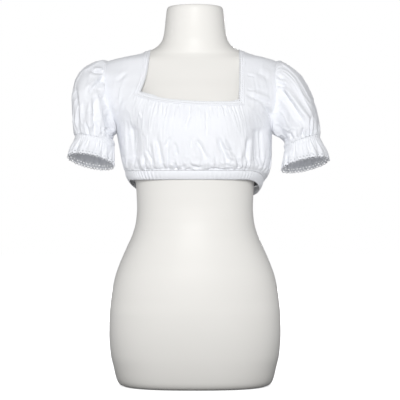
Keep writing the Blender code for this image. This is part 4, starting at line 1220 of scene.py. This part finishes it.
def make_form(paint):
    """The dress form: one smooth solid from the hips to the top of the neck."""
    turns = np.linspace(0, 2 * math.pi, FORM_SIDES, endpoint=False)
    top = FORM_RINGS[-1].z
    heights = np.linspace(0.0, top, FORM_ROWS)
    heights = np.unique(np.concatenate([heights, [0.001, 0.002, top - 0.002, top - 0.001]]))
    rings = np.array([ring_points(z, turns, False) for z in heights])
    caps = []
    for share, rise in ((0.97, 0.0006), (0.6, 0.0008), (0.2, 0.0008)):
        caps.append(between(rings[-1].mean(axis=0), rings[-1], share) + [0, 0, rise])
    base = [between(rings[0].mean(axis=0), rings[0], share) for share in (0.1, 0.6, 0.985)]
    grid = np.array(base + list(rings) + caps)
    made = cloth_object("form_shell", grid, None, True, away_from(FORM_MIDDLE), paint, None)
    shell = bmesh.new()
    shell.from_mesh(made.data)
    rims = [edge for edge in shell.edges if edge.is_boundary]
    bmesh.ops.holes_fill(shell, edges=rims, sides=0)
    shell.to_mesh(made.data)
    shell.free()
    return made


def closed_run(line, normals):
    """A run that comes back to its start."""
    return np.concatenate([line, line[:1]]), np.concatenate([normals, normals[:1]])


def body_runs(front, casing, binding):
    """Where the body's sewing shows: the casing's two edges, the binding, side and shoulder seams."""
    runs = []
    for row in CASING_SEWING_ROWS:
        normals = body_normals(casing[row])
        runs.append(closed_run(casing[row] + normals * STITCH_LIFT, normals))
    normals = body_normals(binding[1])
    runs.append(closed_run(binding[1] + normals * STITCH_LIFT, normals))
    edges = (
        front[1 : FRONT.underarm_row, 2],
        front[1 : FRONT.underarm_row, -3],
        front[FRONT.rows - 2, : FRONT.strap_columns],
        front[FRONT.rows - 2, -FRONT.strap_columns :],
    )
    for line in edges:
        normals = body_normals(line)
        runs.append((line + normals * STITCH_LIFT, normals))
    return runs


def sleeve_runs(side, sleeve, cuff):
    """Where a sleeve's sewing shows: round the armhole, two elastic rows and the lace's edge."""
    normals = tube_normals(sleeve, side)
    normals = normals[ARMHOLE_SEWING_ROW]
    runs = [closed_run(sleeve[ARMHOLE_SEWING_ROW] + normals * STITCH_LIFT, normals)]
    normals = tube_normals(cuff, side)
    for row in CUFF_SEWING_ROWS:
        runs.append(closed_run(cuff[row] + normals[row] * STITCH_LIFT, normals[row]))
    return runs


def stitches(name, runs, paint):
    """Rows of sewing stitches as one mesh. Each run is a polyline and its outward normals."""
    pitch, length, wide = STITCH_PITCH, STITCH_LENGTH, STITCH_HALF_WIDTH
    points, faces = [], []
    for line, normals in runs:
        lengths = measured_along(line)
        count = int(lengths[-1] / pitch)
        starts = (np.arange(count) + 0.2) * pitch
        for start in starts:
            ends = [
                np.array([np.interp(at, lengths, line[:, k]) for k in range(3)])
                for at in (start, start + length)
            ]
            middle = np.array([np.interp(start + length / 2, lengths, line[:, k]) for k in range(3)])
            up = unit(np.array([np.interp(start, lengths, normals[:, k]) for k in range(3)]))
            side = unit(np.cross(up, ends[1] - ends[0])) * wide
            base = len(points)
            points += [ends[0], ends[1], middle + side, middle + up * wide, middle - side]
            points += [middle - up * wide * 0.6]
            ring = [base + 2, base + 3, base + 4, base + 5]
            for k in range(4):
                faces.append([base, ring[(k + 1) % 4], ring[k]])
                faces.append([base + 1, ring[k], ring[(k + 1) % 4]])
    return mesh_object(name, np.array(points), np.array(faces), None, paint)


def tree(material):
    """A material's nodes and links, ready for use."""
    material.use_nodes = True
    return material.node_tree.nodes, material.node_tree.links


def node(nodes, kind, **settings):
    """A shader node with some of its input sockets set."""
    made = nodes.new(kind)
    for name, value in settings.items():
        made.inputs[name.replace("_", " ")].default_value = value
    return made


def mottled(shader, nodes, links, cloud, light, dark):
    """Colours a shader between two shades by a cloud of soft noise."""
    mix = nodes.new("ShaderNodeMix")
    mix.data_type = "RGBA"
    mix.inputs["A"].default_value = (*dark, 1)
    mix.inputs["B"].default_value = (*light, 1)
    links.new(cloud.outputs["Fac"], mix.inputs["Factor"])
    links.new(mix.outputs["Result"], shader.inputs["Base Color"])


def cotton_material(name, light, dark, weave_size, weave_bump, crinkle_bump):
    """Thin washed cotton: a fine weave, small crinkles and a little sheen."""
    made = bpy.data.materials.new(name)
    nodes, links = tree(made)
    shader = nodes["Principled BSDF"]
    shader.inputs["Roughness"].default_value = 0.78
    shader.inputs["Specular IOR Level"].default_value = 0.25
    shader.inputs["Sheen Weight"].default_value = 0.18
    shader.inputs["Sheen Roughness"].default_value = 0.55
    place = nodes.new("ShaderNodeTexCoord")
    tint = node(nodes, "ShaderNodeTexNoise", Scale=14.0, Detail=3.0, Roughness=0.6)
    links.new(place.outputs["Object"], tint.inputs["Vector"])
    mottled(shader, nodes, links, tint, light, dark)
    height = None
    for direction in ("X", "Y"):
        thread = node(nodes, "ShaderNodeTexWave", Scale=1 / weave_size, Distortion=1.2)
        thread.inputs["Detail"].default_value = 1.0
        thread.inputs["Detail Scale"].default_value = 0.6
        thread.bands_direction = direction
        links.new(place.outputs["UV"], thread.inputs["Vector"])
        if height is None:
            height = thread.outputs["Fac"]
            continue
        both = nodes.new("ShaderNodeMath")
        both.operation = "ADD"
        links.new(height, both.inputs[0])
        links.new(thread.outputs["Fac"], both.inputs[1])
        height = both.outputs["Value"]
    weave = node(nodes, "ShaderNodeBump", Strength=0.5, Distance=weave_bump)
    links.new(height, weave.inputs["Height"])
    crinkle = node(nodes, "ShaderNodeTexNoise", Scale=95.0, Detail=4.0, Roughness=0.55)
    links.new(place.outputs["Object"], crinkle.inputs["Vector"])
    bump = node(nodes, "ShaderNodeBump", Strength=0.8, Distance=crinkle_bump)
    links.new(crinkle.outputs["Fac"], bump.inputs["Height"])
    links.new(weave.outputs["Normal"], bump.inputs["Normal"])
    links.new(bump.outputs["Normal"], shader.inputs["Normal"])
    return made


PLASTIC_LIGHT = (0.835, 0.824, 0.798)
PLASTIC_DARK = (0.810, 0.798, 0.770)
PLASTIC_ROUGHNESS = (0.40, 0.48)


def plastic_material():
    """Glossy off-white moulded plastic with faint mottling."""
    made = bpy.data.materials.new("moulded_plastic")
    nodes, links = tree(made)
    shader = nodes["Principled BSDF"]
    shader.inputs["Coat Weight"].default_value = 0.05
    shader.inputs["Coat Roughness"].default_value = 0.25
    shader.inputs["Specular IOR Level"].default_value = 0.16
    place = nodes.new("ShaderNodeTexCoord")
    cloud = node(nodes, "ShaderNodeTexNoise", Scale=9.0, Detail=3.0)
    links.new(place.outputs["Object"], cloud.inputs["Vector"])
    mottled(shader, nodes, links, cloud, PLASTIC_LIGHT, PLASTIC_DARK)
    rough = nodes.new("ShaderNodeMapRange")
    rough.inputs["To Min"].default_value = PLASTIC_ROUGHNESS[0]
    rough.inputs["To Max"].default_value = PLASTIC_ROUGHNESS[1]
    links.new(cloud.outputs["Fac"], rough.inputs["Value"])
    links.new(rough.outputs["Result"], shader.inputs["Roughness"])
    grain = node(nodes, "ShaderNodeTexNoise", Scale=600.0, Detail=2.0)
    links.new(place.outputs["Object"], grain.inputs["Vector"])
    bump = node(nodes, "ShaderNodeBump", Strength=0.25, Distance=0.0001)
    links.new(grain.outputs["Fac"], bump.inputs["Height"])
    links.new(bump.outputs["Normal"], shader.inputs["Normal"])
    return made


def soft_light(name, place, size, power):
    """A square soft light aimed at the blouse."""
    light = bpy.data.lights.new(name, "AREA")
    light.shape = "SQUARE"
    light.size = size
    light.energy = power
    light.color = LIGHT_COLOUR
    made = bpy.data.objects.new(name, light)
    made.location = place
    aim = Vector(SOFTBOX_AIM) - Vector(place)
    made.rotation_euler = aim.to_track_quat("-Z", "Y").to_euler()
    bpy.context.scene.collection.objects.link(made)


def make_stage():
    """The camera, the white surroundings, the floor, and a soft light in front and behind."""
    scene = bpy.context.scene
    camera = bpy.data.objects.new("camera", bpy.data.cameras.new("camera"))
    scene.collection.objects.link(camera)
    camera.location = CAMERA_AT
    camera.rotation_euler = (math.radians(90), 0, 0)
    camera.data.sensor_width = SENSOR
    camera.data.lens = SENSOR * -CAMERA_AT[1] / VIEW_WIDTH
    scene.camera = camera

    world = bpy.data.worlds.new("surroundings")
    scene.world = world
    world.use_nodes = True
    nodes, links = world.node_tree.nodes, world.node_tree.links
    seen = nodes["Background"]
    seen.inputs["Color"].default_value = (1, 1, 1, 1)
    seen.inputs["Strength"].default_value = 1.0
    cast_light = nodes.new("ShaderNodeBackground")
    cast_light.inputs["Color"].default_value = (0.985, 0.99, 1.0, 1)
    place = nodes.new("ShaderNodeTexCoord")
    split = nodes.new("ShaderNodeSeparateXYZ")
    links.new(place.outputs["Generated"], split.inputs["Vector"])
    fade = nodes.new("ShaderNodeMapRange")
    fade.inputs["From Min"].default_value = -0.6
    fade.inputs["From Max"].default_value = 0.4
    fade.inputs["To Min"].default_value = WORLD_LIGHT_BELOW
    fade.inputs["To Max"].default_value = WORLD_LIGHT_ABOVE
    links.new(split.outputs["Z"], fade.inputs["Value"])
    links.new(fade.outputs["Result"], cast_light.inputs["Strength"])
    path = nodes.new("ShaderNodeLightPath")
    mix = nodes.new("ShaderNodeMixShader")
    links.new(path.outputs["Is Camera Ray"], mix.inputs["Fac"])
    links.new(cast_light.outputs["Background"], mix.inputs[1])
    links.new(seen.outputs["Background"], mix.inputs[2])
    links.new(mix.outputs["Shader"], nodes["World Output"].inputs["Surface"])

    floor_mesh = bpy.data.meshes.new("floor")
    half = FLOOR_SIZE / 2
    floor_mesh.from_pydata(
        [(-half, -half, 0), (half, -half, 0), (half, half, 0), (-half, half, 0)], [], [(0, 1, 2, 3)]
    )
    floor = bpy.data.objects.new("floor", floor_mesh)
    floor.location = (0, 0, -FLOOR_DROP)
    scene.collection.objects.link(floor)
    paint = bpy.data.materials.new("pale_floor")
    nodes, links = tree(paint)
    shader = nodes["Principled BSDF"]
    shader.inputs["Base Color"].default_value = (0.95, 0.95, 0.95, 1)
    shader.inputs["Roughness"].default_value = 0.9
    shader.inputs["Emission Color"].default_value = (1, 1, 1, 1)
    shader.inputs["Emission Strength"].default_value = FLOOR_GLOW
    floor_mesh.materials.append(paint)
    floor.visible_diffuse = False
    floor.visible_glossy = False

    turns = [2 * math.pi * k / FLAG_SIDES for k in range(FLAG_SIDES)]
    rim = [(FLAG_RADIUS * math.cos(t), FLAG_RADIUS * math.sin(t), 0) for t in turns]
    flag_mesh = bpy.data.meshes.new("flag")
    flag_mesh.from_pydata(rim, [], [tuple(range(FLAG_SIDES))])
    flag = bpy.data.objects.new("flag", flag_mesh)
    flag.location = (0, 0, -FLAG_DROP)
    scene.collection.objects.link(flag)
    shade = bpy.data.materials.new("dark_flag")
    nodes, links = tree(shade)
    nodes["Principled BSDF"].inputs["Base Color"].default_value = (0.03, 0.03, 0.03, 1)
    nodes["Principled BSDF"].inputs["Roughness"].default_value = 1.0
    flag_mesh.materials.append(shade)
    flag.visible_camera = False
    flag.visible_glossy = False
    flag.visible_shadow = False

    soft_light("softbox", SOFTBOX_AT, SOFTBOX_SIZE, SOFTBOX_POWER)
    soft_light("back_light", BACK_LIGHT_AT, BACK_LIGHT_SIZE, BACK_LIGHT_POWER)
    scene.view_settings.view_transform = "Standard"


def placed(piece, node_name):
    """Hands a piece to the frame in place of a node."""
    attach(piece, "root")
    if node_name:
        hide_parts(node_name)


# The cut that shows of each piece, in metres. {} stands for a sleeve's side. Where no area is
# given, it is the width times the length
COTTON, LACE = "white_cotton", "white_lace"
Cut = namedtuple("Cut", "piece node slot width length area held rests_on")
BODY_CUTS = [
    Cut("front_cloth", "front", COTTON, 0.56, 0.285, 0.0980, "gathered", "form_shell"),
    Cut("back_cloth", "back", COTTON, 0.54, 0.310, 0.1180, "gathered", "form_shell"),
    Cut("casing_cloth", "hem_casing", COTTON, 0.95, 0.020, None, "gathered", "form_shell"),
    Cut("binding_cloth", "neck_binding", COTTON, 0.82, 0.010, 0.0041, "folded", "front_cloth"),
    Cut("neck_lace_edge", "neck_lace", LACE, 0.80, 0.010, 0.0072, "laid", "form_shell"),
]
SLEEVE_CUTS = [
    Cut("sleeve_{}_cloth", "sleeve_{}", COTTON, 0.36, 0.200, 0.0560, "gathered", "front_cloth"),
    Cut("cuff_band_{}_cloth", "cuff_band_{}", COTTON, 0.36, 0.010, None, "gathered", "sleeve_{}_cloth"),
    Cut("cuff_ruffle_{}_cloth", "cuff_ruffle_{}", COTTON, 0.36, 0.027, None, "hung", "cuff_band_{}_cloth"),
    Cut("cuff_lace_{}_edge", "cuff_lace_{}", LACE, 0.34, 0.014, None, "hung", "cuff_ruffle_{}_cloth"),
]


def declared(cut, side_name):
    """Hands one cloth piece to the frame in place of its node."""
    names = [text.format(side_name) for text in (cut.piece, cut.node, cut.rests_on)]
    piece = bpy.data.objects[names[0]]
    placed(piece, names[1])


def main():
    make_stage()
    cotton = cotton_material(
        "washed_cotton", (0.880, 0.892, 0.925), (0.835, 0.853, 0.900), 0.00055, 0.00006, 0.0007
    )
    lace_paint = cotton_material(
        "cotton_lace", (0.925, 0.942, 0.980), (0.890, 0.908, 0.952), 0.00070, 0.00008, 0.0002
    )
    plastic = plastic_material()
    form = make_form(plastic)
    placed(form, "dress_form")
    thread = cotton_material(
        "sewing_thread", (0.875, 0.885, 0.910), (0.830, 0.845, 0.880), 0.00040, 0.00003, 0.0001
    )
    front = make_panel(FRONT, cotton)
    back = make_panel(BACK, cotton)
    casing = make_casing(cotton)
    binding = make_neck_trim(front, back, cotton, lace_paint)
    body_sewing = stitches("body_sewing", body_runs(front, casing, binding), thread)
    placed(body_sewing, None)
    for cut in BODY_CUTS:
        declared(cut, "")
    for side in (RIGHT, LEFT):
        sleeve = make_sleeve(side, cotton)
        cuff = make_cuff(side, cotton, lace_paint)
        sewing = stitches("sleeve_" + side.name + "_sewing", sleeve_runs(side, sleeve, cuff), thread)
        placed(sewing, None)
        for cut in SLEEVE_CUTS:
            declared(cut, side.name)


main()
